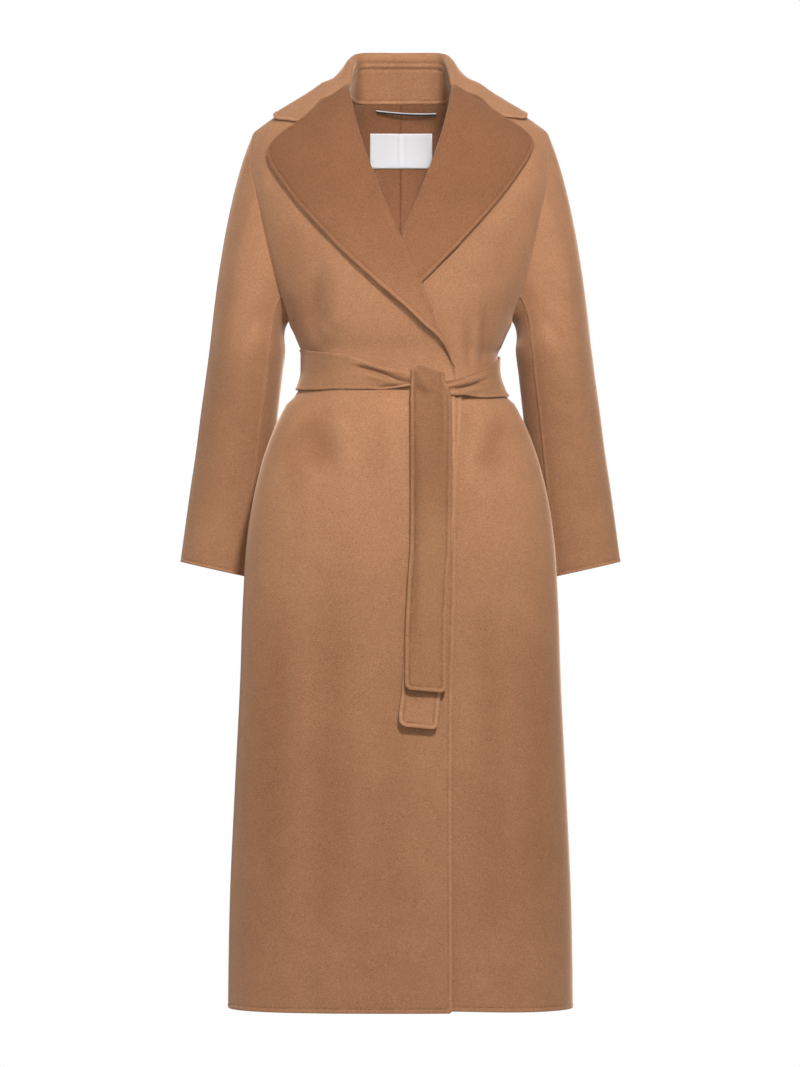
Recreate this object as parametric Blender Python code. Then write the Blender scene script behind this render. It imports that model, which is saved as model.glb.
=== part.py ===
"""A long wool wrap coat with its own tie belt, hollow and filled out as it is worn.

The front faces -Y and +Z is up. The wearer's shoulders carry the coat, so the origin lies between them, at
the height where the neck meets the shoulders. "Right" and "left" in the names are the wearer's.

Every piece is one ply of cloth, laid out as a grid of points: rows run up the piece and columns across it.
The grid is the middle of the ply, and half the cloth's thickness is added to either side of it.
"""

import bpy
import numpy as np

RIGHT, LEFT = -1, 1  # the wearer's sides
FRONT, BACK = -1, 1  # the faces of the body

# ---------------------------------------------------------------- cloth and seams
CLOTH = 0.002  # thickness of the double-face wool
RIBBON = 0.0008  # thickness of the label and the hanging loop
SEAM_GAP = 0.0003  # air left in every seam
LEAST_LEAN = 0.4  # of a seam's mitre: a sharper seam gets no longer mitre than this one

# ---------------------------------------------------------------- the body of the coat
BUST_HEIGHT = -0.120  # above this the cloth starts to roll over the shoulders
UNDERARM = -0.291
HEM = -1.251
POWER = {FRONT: 2.4, BACK: 2.0}  # of the sections: 2 gives an ellipse, more gives squarer corners

# Horizontal sections: height, half width, y of the front, y of the back, y of the side seam.
BODY = np.array(
    [
        (HEM, 0.240, -0.164, 0.170, -0.024),
        (-1.124, 0.238, -0.161, 0.166, -0.027),
        (-1.000, 0.233, -0.158, 0.162, -0.030),
        (-0.880, 0.227, -0.154, 0.158, -0.033),
        (-0.743, 0.2205, -0.150, 0.153, -0.036),
        (-0.650, 0.2175, -0.147, 0.149, -0.037),
        (-0.595, 0.2128, -0.144, 0.145, -0.037),
        (-0.552, 0.206, -0.140, 0.140, -0.036),
        (-0.501, 0.1957, -0.134, 0.133, -0.033),
        (-0.466, 0.1843, -0.128, 0.126, -0.028),
        (-0.434, 0.171, -0.122, 0.118, -0.022),
        (-0.409, 0.158, -0.116, 0.110, -0.016),
        (-0.389, 0.1450, -0.110, 0.102, -0.010),
        (-0.362, 0.1380, -0.105, 0.095, -0.005),
        (-0.340, 0.1380, -0.106, 0.095, -0.003),
        (-0.325, 0.1425, -0.109, 0.096, -0.002),
        (-0.291, 0.1558, -0.116, 0.100, 0.000),
        (-0.250, 0.166, -0.121, 0.104, 0.000),
        (-0.200, 0.180, -0.124, 0.108, 0.000),
        (-0.150, 0.192, -0.124, 0.110, 0.000),
        (-0.120, 0.197, -0.122, 0.111, 0.000),
    ]
)
# Armhole: height, distance of the seam from the middle, y of its front edge, y of its back edge.
ARMHOLE = np.array(
    [
        (-0.291, 0.1558, -0.001, 0.001),
        (-0.287, 0.1568, -0.016, 0.016),
        (-0.276, 0.1600, -0.030, 0.031),
        (-0.260, 0.1660, -0.041, 0.043),
        (-0.225, 0.1755, -0.053, 0.056),
        (-0.175, 0.1875, -0.058, 0.063),
        (-0.120, 0.1990, -0.054, 0.063),
        (-0.078, 0.2065, -0.054, 0.063),
        (-0.029, 0.2050, -0.054, 0.063),
    ]
)
# Shoulder seam: distance from the middle, y, height. It falls away into the sleeve at its end.
NECK_POINT = 0.076
SHOULDER_TIP = 0.205
SHOULDER = np.array(
    [
        (0.000, -0.016, 0.034),
        (0.040, -0.016, 0.033),
        (0.076, -0.016, 0.030),
        (0.110, -0.009, 0.019),
        (0.140, -0.003, 0.008),
        (0.174, 0.001, -0.007),
        (0.205, 0.002, -0.029),
    ]
)
SHOULDER_ROUNDNESS = (1.25, 1.80)  # power of the roll over the shoulder, at the neck and at the tip
# The upper back is cut off along the neckline: distance from the middle, y and height of the ridge that the
# cloth would reach without the neckline, and height of the neckline.
BACK_NECK = np.array(
    [
        (0.000, 0.025, 0.064, 0.0150),
        (0.030, 0.018, 0.058, 0.0146),
        (0.050, 0.007, 0.049, 0.0142),
        (0.065, -0.005, 0.039, 0.0180),
        (0.076, -0.016, 0.030, 0.0300),
    ]
)

# ---------------------------------------------------------------- rows and columns of the grids
SKIRT_ROWS = (HEM, -1.10, -0.94, -0.80, -0.68, -0.59, -0.52, -0.47, -0.434, -0.409, -0.389)
WAIST_ROWS = (-0.372, -0.362, -0.350, -0.335, -0.315)
ARMHOLE_ROWS = (-0.291, -0.287, -0.276, -0.260, -0.225, -0.175, -0.120)
SHOULDER_ROWS = np.radians((16.0, 31.0, 46.0, 60.0, 73.0, 83.0, 90.0))  # angles in the roll over the shoulder
ROW_HEIGHTS = SKIRT_ROWS + WAIST_ROWS + ARMHOLE_ROWS
UNDERARM_ROW = ROW_HEIGHTS.index(UNDERARM)
SEAM_ROW = ROW_HEIGHTS.index(-0.260)  # the sleeve's front and back seams meet the armhole here
SIDE_COLUMNS = 10  # from the side seam to the roll line, and along the shoulder seam
NECK_COLUMNS = np.array((0.0742, 0.0705, 0.0640, 0.0540, 0.0400, 0.0205, 0.0))  # half the back neckline

# ---------------------------------------------------------------- fronts and lapels
# Roll line and front edge: height, distance past the middle of the folded or raw edge.
FRONT_EDGE = np.array(
    [
        (HEM, 0.0715),
        (-0.860, 0.0709),
        (-0.682, 0.0751),
        (-0.523, 0.0779),
        (-0.404, 0.0836),
        (-0.370, 0.0785),
        (-0.337, 0.0690),
        (-0.295, 0.0520),
        (-0.241, 0.0283),
        (-0.212, 0.0140),
        (-0.179, -0.0007),
        (-0.131, -0.0214),
        (-0.092, -0.0366),
        (-0.046, -0.0533),
        (0.0035, -0.0661),
        (0.030, -0.0710),
    ]
)
# Strip along the front edge that turns over above the belt, below the lapel: height, width on the right front
# and on the left one.
EDGE_STRIP = np.array(
    [
        (-0.372, 0.0070, 0.007),
        (-0.350, 0.0080, 0.007),
        (-0.335, 0.0092, 0.007),
        (-0.315, 0.0128, 0.007),
        (-0.300, 0.0160, 0.007),
    ]
)
LAPEL_START = {RIGHT: -0.300, LEFT: -0.262}  # above this height the turned edge is a lapel
# Lapels: height on the roll line, distance from the middle and height of the outer edge, and how much higher
# the left lapel's edge lies.
LAPEL = np.array(
    [
        (-0.2953, 0.0330, -0.3000, 0.000),
        (-0.2412, -0.0010, -0.2680, 0.000),
        (-0.2122, -0.0311, -0.2440, 0.002),
        (-0.1790, -0.0650, -0.2120, 0.006),
        (-0.1307, -0.1000, -0.1770, 0.009),
        (-0.0915, -0.1290, -0.1460, 0.011),
        (-0.0463, -0.1540, -0.1160, 0.013),
        (0.0035, -0.1780, -0.0800, 0.014),
        (0.0300, -0.1850, -0.0600, 0.012),
    ]
)
# Top edge of the lapel: share of the width, distance from the middle, height. The collar is sewn to it as far
# as the notch, and the rest is free.
LAPEL_TOP = np.array(
    [
        (0.00, -0.0760, 0.0300),
        (0.13, -0.0900, 0.0205),
        (0.28, -0.1070, 0.0110),
        (0.43, -0.1250, -0.0055),
        (0.58, -0.1421, -0.0185),
        (0.70, -0.1567, -0.0285),
        (0.85, -0.1735, -0.0425),
        (1.00, -0.1860, -0.0600),
    ]
)
NOTCH = 4  # the gorge seam ends at this point of the table above
TOP_PULL = 6.0  # how soon the lapel's rows take up the shape of its top edge: higher is later
FLAT_SHARE = 0.6  # of the lapel's width, past which it lies as close as at its narrow end
TURN_COLUMNS = 6  # steps round the fold of the lapel
# Fold of the lapel: height, radius.
FOLD_RADIUS = np.array([(-0.37, 0.0022), (-0.16, 0.0024), (-0.05, 0.0035), (0.03, 0.0050)])
NO_TURN = 0.001  # the least turn, in radians
# Angle through which the front edge is turned over: height, right front, left front.
TURN = np.array(
    [
        (-0.372, 0.0, 0.0),
        (-0.362, 40.0, 0.0),
        (-0.350, 95.0, 0.0),
        (-0.335, 150.0, 20.0),
        (-0.315, 180.0, 80.0),
        (-0.291, 180.0, 140.0),
        (-0.276, 180.0, 180.0),
    ]
)
# The right front lies over the left one and its folded lapel: height, how far it is moved out.
OVER_LIFT = np.array(
    [
        (HEM, 0.0042),
        (-0.345, 0.0046),
        (-0.335, 0.0053),
        (-0.325, 0.0064),
        (-0.315, 0.0078),
        (-0.295, 0.0088),
        (-0.170, 0.0088),
        (-0.130, 0.0035),
        (-0.092, 0.0000),
    ]
)
OVERLAP_START = (-0.118, -0.084)  # distances from the middle between which the right front moves out

# ---------------------------------------------------------------- collar
# Stations from the lapel to the centre back: place on the neckline; x, y and height of the roll's crest; x
# of the outer edge; how far that edge lies behind the top of the shoulder, in degrees of the roll; how far it
# lies above the cloth below it.
COLLAR = np.array(
    [
        (0.0760, 0.0700, -0.018, 0.0400, 0.1720, -12.0, 0.006),
        (0.0742, 0.0690, -0.008, 0.0560, 0.1740, -3.0, 0.006),
        (0.0705, 0.0665, 0.003, 0.0700, 0.1720, 8.0, 0.006),
        (0.0640, 0.0630, 0.015, 0.0800, 0.1640, 24.0, 0.006),
        (0.0540, 0.0575, 0.030, 0.0845, 0.1450, 38.0, 0.0065),
        (0.0400, 0.0460, 0.047, 0.0860, 0.1130, 46.0, 0.007),
        (0.0205, 0.0250, 0.060, 0.0865, 0.0600, 50.0, 0.0075),
        (0.0000, 0.0000, 0.065, 0.0865, 0.0000, 52.0, 0.0075),
    ]
)
COLLAR_ROLL = 0.005  # radius of the roll
COLLAR_POINT = (0.1690, -14.0, 0.006)  # x, degrees and lift of the collar's front corner
FALL_BULGE = 0.004  # how far the fall curves up out of the straight line from its roll to its edge
STAND_ROWS = 3  # steps from the neck seam up to the roll
FALL_ROWS = 6  # steps from the roll down to the outer edge

# ---------------------------------------------------------------- sleeves
# Below the armhole: height of the middle, its distance out and its y, half width, half depth.
SLEEVE = np.array(
    [
        (-0.640, 0.2535, 0.068, 0.0555, 0.046),
        (-0.590, 0.2470, 0.064, 0.0553, 0.050),
        (-0.540, 0.2405, 0.058, 0.0550, 0.054),
        (-0.480, 0.2330, 0.047, 0.0537, 0.058),
        (-0.420, 0.2260, 0.033, 0.0530, 0.062),
        (-0.370, 0.2195, 0.021, 0.0525, 0.066),
        (-0.330, 0.2145, 0.012, 0.0520, 0.069),
    ]
)
CUFF_SLANT = 0.011  # the cuff rises by this much towards its outer side
CAP_STEPS = 6  # rows of the sleeve head
CAP_REACH = (0.65, 0.30)  # shares of the way out and down at which the sleeve head bends down
UNDERARM_REACH = 1.7  # the share of the way out at the underarm
UNDERARM_SPREAD = 75.0  # degrees round the sleeve over which that share falls to the sleeve head's
UNDER_SLEEVE_ANGLES = (-58.0, 52.0)  # the under sleeve's back and front seam, from its inmost line

# ---------------------------------------------------------------- belt
BELT_WIDTH = 0.056
# The stretch round the waist: angle round the section, from the wearer's right side (0) towards the front
# (90) or the back (-90), height of the top edge and of the bottom edge, depth of the gathers.
BELT = np.array(
    [
        (-256.0, -0.3815, -0.4020, 0.0002),
        (-245.0, -0.3800, -0.4030, 0.0004),
        (-235.0, -0.3740, -0.4030, 0.0014),
        (-222.0, -0.3650, -0.4025, 0.0008),
        (-205.0, -0.3525, -0.4005, 0.0),
        (-180.0, -0.3430, -0.3990, 0.0),
        (-90.0, -0.3355, -0.3926, 0.0),
        (0.0, -0.3320, -0.3898, 0.0),
        (20.0, -0.3345, -0.3905, 0.0),
        (40.0, -0.3375, -0.3914, 0.0),
        (60.0, -0.3410, -0.3924, 0.0004),
        (72.0, -0.3480, -0.3926, 0.0014),
        (80.0, -0.3565, -0.3926, 0.0018),
        (88.0, -0.3630, -0.3920, 0.0018),
        (95.0, -0.3660, -0.3905, 0.0004),
        (101.0, -0.3660, -0.3900, 0.0002),
    ]
)
BELT_STEPS = 44  # columns along the stretch
GATHERS = (0.0, 0.9, -0.2, -1.0, 0.5, 1.0, 0.0)  # shape of the gathers across the width, bottom to top
# How far the belt stands off the body in front: x, distance. It passes over both fronts and then the knot.
BELT_STAND_OFF = np.array(
    [
        (-0.130, 0.0038),
        (-0.088, 0.0076),
        (-0.015, 0.0078),
        (0.008, 0.0106),
        (0.083, 0.0106),
        (0.098, 0.0060),
        (0.120, 0.0038),
    ]
)
# Hanging ends, from the bottom up: height, middle (x), distance from the body.
END_FRONT = np.array(
    [
        (-0.8050, 0.0345, 0.0104),
        (-0.7970, 0.0345, 0.0104),
        (-0.7000, 0.0350, 0.0104),
        (-0.6000, 0.0370, 0.0106),
        (-0.5100, 0.0390, 0.0110),
        (-0.4500, 0.0400, 0.0120),
        (-0.4100, 0.0405, 0.0142),
        (-0.3900, 0.0405, 0.0146),
        (-0.3720, 0.0405, 0.0146),
    ]
)
END_BACK = np.array(
    [
        (-0.8550, 0.0275, 0.0074),
        (-0.8470, 0.0277, 0.0074),
        (-0.7300, 0.0310, 0.0074),
        (-0.6200, 0.0360, 0.0074),
        (-0.5200, 0.0420, 0.0074),
        (-0.4500, 0.0470, 0.0074),
        (-0.4150, 0.0495, 0.0074),
        (-0.3830, 0.0505, 0.0074),
    ]
)
END_CORNER = 0.008  # radius of the rounded corners at the bottom of both ends
END_COLUMNS = np.array((-1.0, -0.714, -0.3, 0.3, 0.714, 1.0)) * BELT_WIDTH / 2.0
LOOP_LEG = (-0.3620, -0.3720, 0.0074)  # top and bottom of the leg behind the belt, distance from the body
LOOP_TURN_STEPS = 4

# ---------------------------------------------------------------- label and hanging loop
LABEL = (0.0009, 0.0886, -0.0242, -0.0731)  # middle (x), width, top and bottom
LABEL_ROWS, LABEL_COLUMNS = 5, 9
HANGER = (-0.0350, 0.0510, 0.0070, 0.0035)  # x of both ends, height, how far its middle hangs off the back
HANGER_WIDTH = 0.0055
HANGER_COLUMNS = 13

# ---------------------------------------------------------------- colours
CAMEL = (0.392, 0.195, 0.098, 1.0)
LABEL_GREY = (0.76, 0.76, 0.77, 1.0)
SATIN_BLACK = (0.012, 0.013, 0.022, 1.0)
ROUGHNESS = {CAMEL: 0.85, LABEL_GREY: 0.60, SATIN_BLACK: 0.35}
SHARP_EDGE = 50.0  # degrees past which an edge isn't shaded smooth

# ---------------------------------------------------------------- how finely the shape is worked out
NEAR = 0.002  # how far apart two points lie that give a direction
NEAR_ANGLE = 0.02  # the same, in radians
STEEPEST = 0.998  # share of the way up to the shoulders past which a point counts as on top
SETTLING = 6  # rounds in which the rows find the armhole's edge and the roll line
FACET_LIMIT = 1e-12  # a facet seen from its edge spans less than this
FACET_SLACK = 0.02  # how far outside a facet, in shares of it, a point still belongs to it


def read(table, key):
    """The other columns of a table at a key, along a smooth curve through its rows."""
    keys, values = table[:, 0], table[:, 1:]
    key = min(max(key, keys[0]), keys[-1])
    row = min(int(np.searchsorted(keys, key, side="right")) - 1, len(keys) - 2)
    spans = np.diff(keys)
    slopes = np.diff(values, axis=0) / spans[:, None]

    def tangent(at):
        if at == 0 or at == len(keys) - 1:
            return slopes[min(at, len(slopes) - 1)]
        before, after = slopes[at - 1], slopes[at]
        weight = (spans[at - 1] + 2.0 * spans[at]) / (3.0 * (spans[at - 1] + spans[at]))
        product = before * after
        mixed = weight * after + (1.0 - weight) * before
        return np.where(product > 0.0, product / np.where(product > 0.0, mixed, 1.0), 0.0)

    share = (key - keys[row]) / spans[row]
    start, end = values[row], values[row + 1]
    bend_in = tangent(row) * spans[row]
    bend_out = tangent(row + 1) * spans[row]
    return (
        start * (1 - share) ** 2 * (1 + 2 * share)
        + end * share**2 * (3 - 2 * share)
        + bend_in * share * (1 - share) ** 2
        - bend_out * share**2 * (1 - share)
    )


def blend(start, end, share):
    return np.asarray(start) * (1.0 - share) + np.asarray(end) * share


def ease(low, high, value):
    share = min(max((value - low) / (high - low), 0.0), 1.0)
    return share * share * (3.0 - 2.0 * share)


def unit(vector):
    return vector / max(float(np.linalg.norm(vector)), 1e-12)


# ---------------------------------------------------------------- shape of the body
def section(height, face):
    """Half width, y of its widest line and depth of a section's front or back half.

    Above the underarm the curve is widened so that it passes through the armhole seam.
    """
    half, front, back, side = read(BODY, height)
    depth = side - front if face == FRONT else back - side
    if height > UNDERARM:
        seam_x, seam_front, seam_back = read(ARMHOLE, height)
        seam_depth = abs((seam_front if face == FRONT else seam_back) - side)
        half = seam_x / (1.0 - (seam_depth / depth) ** POWER[face]) ** (1.0 / POWER[face])
    return half, side, depth


def level_y(x, height, face):
    half, side, depth = section(min(height, BUST_HEIGHT), face)
    share = min(abs(x) / half, 1.0)
    return side + face * depth * (1.0 - share ** POWER[face]) ** (1.0 / POWER[face])


def ridge(x, face):
    """y and height of the line that the cloth rolls up to over the shoulders."""
    if face == BACK and abs(x) < NECK_POINT:
        return read(BACK_NECK, abs(x))[:2]
    return read(SHOULDER, abs(x))


def roll_power(x, face):
    if face == BACK:
        return 2.0 / 1.7
    share = min(max((abs(x) - NECK_POINT) / (SHOULDER_TIP - NECK_POINT), 0.0), 1.0)
    return 2.0 / blend(*SHOULDER_ROUNDNESS, share)


def rolled(x, angle, face):
    """A point on the roll over the shoulder: angle 0 is at the bust, a right angle is the shoulder seam."""
    ridge_y, ridge_z = ridge(x, face)
    power = roll_power(x, face)
    y = blend(ridge_y, level_y(x, BUST_HEIGHT, face), max(np.cos(angle), 0.0) ** power)
    z = blend(BUST_HEIGHT, ridge_z, np.sin(angle) ** power)
    return np.array((x, float(y), float(z)))


def roll_angle(x, height, face):
    rise = (height - BUST_HEIGHT) / (ridge(x, face)[1] - BUST_HEIGHT)
    return float(np.arcsin(min(max(rise, 0.0), STEEPEST) ** (1.0 / roll_power(x, face))))


def body_point(x, height, face):
    if height <= BUST_HEIGHT:
        return np.array((x, level_y(x, height, face), height))
    return rolled(x, roll_angle(x, height, face), face)


def body_normal(x, height, face):
    across = body_point(x + NEAR, height, face) - body_point(x - NEAR, height, face)
    up = body_point(x, height + NEAR, face) - body_point(x, height - NEAR, face)
    return unit(np.cross(up, across)) * face


def off_body(x, height, face, distance):
    """A point that lies a distance outside the middle of the body's cloth."""
    return body_point(x, height, face) + body_normal(x, height, face) * distance


def round_section(height, angle):
    """A point on the section at an angle: 0 at the wearer's right side, 90 in front, -90 at the back."""
    face = FRONT if np.sin(angle) >= 0.0 else BACK
    half, side, depth = section(height, face)
    power = 2.0 / POWER[face]
    x = -half * np.sign(np.cos(angle)) * abs(np.cos(angle)) ** power
    return np.array((x, side + face * depth * abs(np.sin(angle)) ** power, height))


def angle_at(x, height, face):
    """The angle round the section at which it passes a given x."""
    share = min(abs(x) / section(height, face)[0], 1.0) ** (POWER[face] / 2.0)
    angle = np.arccos(share)
    return angle if x < 0.0 else np.pi - angle


# ---------------------------------------------------------------- plies of cloth
class Ply:
    """One piece of cloth: a grid of points in its middle, and how far each is thickened to either side."""

    def __init__(self, name, points, outward, thickness=CLOTH, colour=CAMEL):
        self.name = name
        self.points = np.array(points, dtype=float)
        self.cut = self.points.copy()  # before the seams draw it back: the same along both sides of a seam
        self.thickness = thickness
        self.colour = colour
        along = np.gradient(self.points, axis=0)
        across = np.gradient(self.points, axis=1)
        normals = np.cross(across, along)
        normals /= np.linalg.norm(normals, axis=2, keepdims=True)
        rows, columns = self.points.shape[:2]
        self.turned = bool(np.dot(normals[rows // 2, columns // 2], outward) < 0.0)
        self.normals = -normals if self.turned else normals
        self.offsets = self.normals * (thickness / 2.0)

    def sides(self):
        """The four sides of the grid, each as its points' places and the way into the piece."""
        rows, columns = self.points.shape[:2]
        yield [(0, c) for c in range(columns)], (1, 0)
        yield [(rows - 1, c) for c in range(columns)], (-1, 0)
        yield [(r, 0) for r in range(rows)], (0, 1)
        yield [(r, columns - 1) for r in range(rows)], (0, -1)

    def facets(self):
        """The triangles of the grid, each as its three points' places."""
        rows, columns = self.points.shape[:2]
        for r in range(rows - 1):
            for c in range(columns - 1):
                yield (r, c), (r, c + 1), (r + 1, c + 1)
                yield (r, c), (r + 1, c + 1), (r + 1, c)

    def inside(self, x, height):
        """The point of the piece's inner face at an x and a height, and the direction away from it."""
        face_points = self.points - self.offsets
        for face in self.facets():
            first, second, third = (face_points[place] for place in face)
            sides = np.array((second - first, third - first))[:, (0, 2)].T
            if abs(np.linalg.det(sides)) < FACET_LIMIT:
                continue
            shares = np.linalg.solve(sides, np.array((x, height)) - first[[0, 2]])
            if shares.min() < -FACET_SLACK or shares.sum() > 1.0 + FACET_SLACK:
                continue
            away = unit(np.cross(second - first, third - first))
            point = first + shares[0] * (second - first) + shares[1] * (third - first)
            return point, away if self.turned else -away
        raise ValueError(f"{self.name} has no point at {x}, {height}")

    def build(self):
        rows, columns = self.points.shape[:2]
        outer = (self.points + self.offsets).reshape(-1, 3)
        inner = (self.points - self.offsets).reshape(-1, 3)
        count = rows * columns
        faces = []
        for face in self.facets():
            places = [r * columns + c for r, c in face]
            faces.append(tuple(places))
            faces.append(tuple(count + place for place in reversed(places)))
        rim = [c for c in range(columns)]
        rim += [r * columns + columns - 1 for r in range(1, rows)]
        rim += [(rows - 1) * columns + c for c in range(columns - 2, -1, -1)]
        rim += [r * columns for r in range(rows - 2, 0, -1)]
        seam_order = [tuple(np.round((z, y, abs(x)), 6)) for x, y, z in self.cut.reshape(-1, 3)]
        for a, b in zip(rim, rim[1:] + rim[:1]):
            if seam_order[a] < seam_order[b]:
                faces += [(b, a, count + b), (a, count + a, count + b)]
            else:
                faces += [(b, a, count + a), (b, count + a, count + b)]
        if self.turned:
            faces = [tuple(reversed(face)) for face in faces]
        mesh = bpy.data.meshes.new(self.name)
        mesh.from_pydata(np.vstack((outer, inner)).tolist(), [], faces)
        mesh.validate()
        mesh.shade_smooth()
        mesh.set_sharp_from_angle(angle=np.radians(SHARP_EDGE))
        mesh.materials.append(cloth_material(self.name, self.colour))
        piece = bpy.data.objects.new(self.name, mesh)
        bpy.context.scene.collection.objects.link(piece)
        return piece


def cloth_material(name, colour):
    material = bpy.data.materials.new(name)
    material.use_nodes = True
    shader = material.node_tree.nodes["Principled BSDF"]
    shader.inputs["Base Color"].default_value = colour
    shader.inputs["Roughness"].default_value = ROUGHNESS[colour]
    shader.inputs["Metallic"].default_value = 0.0
    return material


def sew(plies):
    """Mitre the plies where their sides meet and draw each back by half a seam's gap."""
    meeting = {}
    for ply in plies:
        for side, _ in ply.sides():
            for place in side:
                key = tuple(np.round(ply.points[place], 7))
                meeting.setdefault(key, set()).add((ply.name, place))
    by_name = {ply.name: ply for ply in plies}
    sewn = {}
    for members in meeting.values():
        if len({name for name, _ in members}) < 2:
            continue
        normals = [by_name[name].normals[place] for name, place in sorted(members)]
        mitre = unit(np.sum(normals, axis=0))
        lean = float(np.mean([max(np.dot(mitre, normal), 0.0) for normal in normals]))
        for name, place in members:
            sewn[(name, place)] = mitre / max(lean, LEAST_LEAN)
    for ply in plies:
        moved = ply.points.copy()
        for side, inward in ply.sides():
            for at, place in enumerate(side):
                if (ply.name, place) not in sewn:
                    continue
                before, after = side[max(at - 1, 0)], side[min(at + 1, len(side) - 1)]
                if not any((ply.name, near) in sewn for near in (before, after) if near != place):
                    continue
                mitre = sewn[(ply.name, place)]
                back = unit(np.cross(mitre, ply.points[after] - ply.points[before]))
                inside = ply.points[place[0] + inward[0], place[1] + inward[1]] - ply.points[place]
                moved[place] += back * (SEAM_GAP / 2.0) * (1.0 if np.dot(back, inside) > 0.0 else -1.0)
                ply.offsets[place] = mitre * (ply.thickness / 2.0)
        ply.points = moved


def mirrored(points):
    return np.array(points) * (-1.0, 1.0, 1.0)


# ---------------------------------------------------------------- fronts
def edge_turn(height, side):
    right, left = read(TURN, height)
    return np.radians(right if side == RIGHT else left)


def strip_width(height, side):
    right, left = read(EDGE_STRIP, height)
    return right if side == RIGHT else left


def roll_x(height, side):
    """Where the ply leaves the body to turn over, or where its edge strip starts."""
    edge = read(FRONT_EDGE, height)[0]
    fold = read(FOLD_RADIUS, height)[0] + CLOTH / 2.0
    return edge - blend(strip_width(height, side), fold, edge_turn(height, side) / np.pi)


def over_lift(x, height):
    return read(OVER_LIFT, height)[0] * ease(*OVERLAP_START, x)


def front_body(side):
    """The part of a front that lies on the body, from the side seam to the roll line."""
    shares = np.linspace(0.0, 1.0, SIDE_COLUMNS + 1)
    rows = []
    for height in ROW_HEIGHTS:
        start = 0.0
        if height > UNDERARM:
            start = angle_at(-read(ARMHOLE, height)[0], height, FRONT)
        end = angle_at(roll_x(height, side), height, FRONT)
        rows.append([round_section(height, blend(start, end, share)) for share in shares])
    bust_x = np.array([point[0] for point in rows[-1]])
    bust_shares = (bust_x - bust_x[0]) / (bust_x[-1] - bust_x[0])
    for angle in SHOULDER_ROWS:
        outer_x, inner_x = -SHOULDER_TIP, -NECK_POINT
        if angle < SHOULDER_ROWS[-1]:
            for _ in range(SETTLING):
                outer_x = -read(ARMHOLE, rolled(outer_x, angle, FRONT)[2])[0]
                inner_x = roll_x(rolled(inner_x, angle, FRONT)[2], side)
        row_shares = blend(bust_shares, shares, np.sin(angle))
        rows.append([rolled(blend(outer_x, inner_x, share), angle, FRONT) for share in row_shares])
    return np.array(rows)


def lapel_point(root, share, side, lift):
    """A point of the lapel's face, at a share of its width from the point where the row turns over."""
    edge_x, edge_z, rise = read(LAPEL, root[2])
    top_x, top_z = read(LAPEL_TOP, share)
    top_root, top_edge = LAPEL_TOP[0, 1:], LAPEL_TOP[-1, 1:]
    lowest, highest = LAPEL[0, 0], LAPEL[-1, 0]
    pull = min(max((root[2] - lowest) / (highest - lowest), 0.0), 1.0) ** TOP_PULL
    straight = blend(top_root, top_edge, share)
    x = blend(root[0], edge_x, share) + (top_x - straight[0]) * pull
    z = blend(root[2], edge_z, share) + (top_z - straight[1]) * pull
    if side == LEFT:
        z += rise * share
    extra = over_lift(x, z) if side == RIGHT else 0.0
    return off_body(float(x), float(z), FRONT, lift + extra)


def turn_over(away, normal, radius, angle, straight):
    """The way along a fold: round through an angle, and straight on from there."""
    round_part = away * radius * np.sin(angle) + normal * radius * (1.0 - np.cos(angle))
    return round_part + (away * np.cos(angle) + normal * np.sin(angle)) * straight


def front_ply(side):
    """A front and its lapel, turned over along the roll line, as one ply."""
    body = front_body(side)
    along = np.gradient(body, axis=0)
    across = np.gradient(body, axis=1)
    normals = np.cross(across, along)
    normals /= np.linalg.norm(normals, axis=2, keepdims=True)
    if side == RIGHT:
        for place in np.ndindex(body.shape[:2]):
            point = body[place]
            body[place] = point + normals[place] * over_lift(point[0], point[2])
    roll = body[:, -1]
    roll_direction = np.gradient(roll, axis=0)
    shares = LAPEL_TOP[1:, 0]
    steps = TURN_COLUMNS + len(shares)
    narrow_radius = FOLD_RADIUS[0, 1]
    rows = []
    for row, root in enumerate(roll):
        normal = normals[row, -1]
        away = unit(np.cross(roll_direction[row], normal))
        if np.dot(away, root - body[row, -2]) < 0.0:
            away = -away
        radius = read(FOLD_RADIUS, root[2])[0]
        if root[2] > LAPEL_START[side]:
            angles = np.pi * np.arange(1, TURN_COLUMNS + 1) / TURN_COLUMNS
            turned = [root + turn_over(away, normal, radius, angle, 0.0) for angle in angles]
            lifts = [2.0 * blend(radius, narrow_radius, ease(0.0, FLAT_SHARE, share)) for share in shares]
            turned += [lapel_point(root, share, side, lift) for share, lift in zip(shares, lifts)]
        else:
            whole = max(edge_turn(root[2], side), NO_TURN)
            turned = []
            for reach in strip_width(root[2], side) * np.arange(1, steps + 1) / steps:
                angle = min(reach / radius, whole)
                turned.append(root + turn_over(away, normal, radius, angle, reach - angle * radius))
        rows.append(np.vstack((body[row], turned)))
    points = np.array(rows)
    name = "front_right" if side == RIGHT else "front_left"
    if side == LEFT:
        points = mirrored(points)
    return Ply(name, points, (0.0, -1.0, 0.0))


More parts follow.
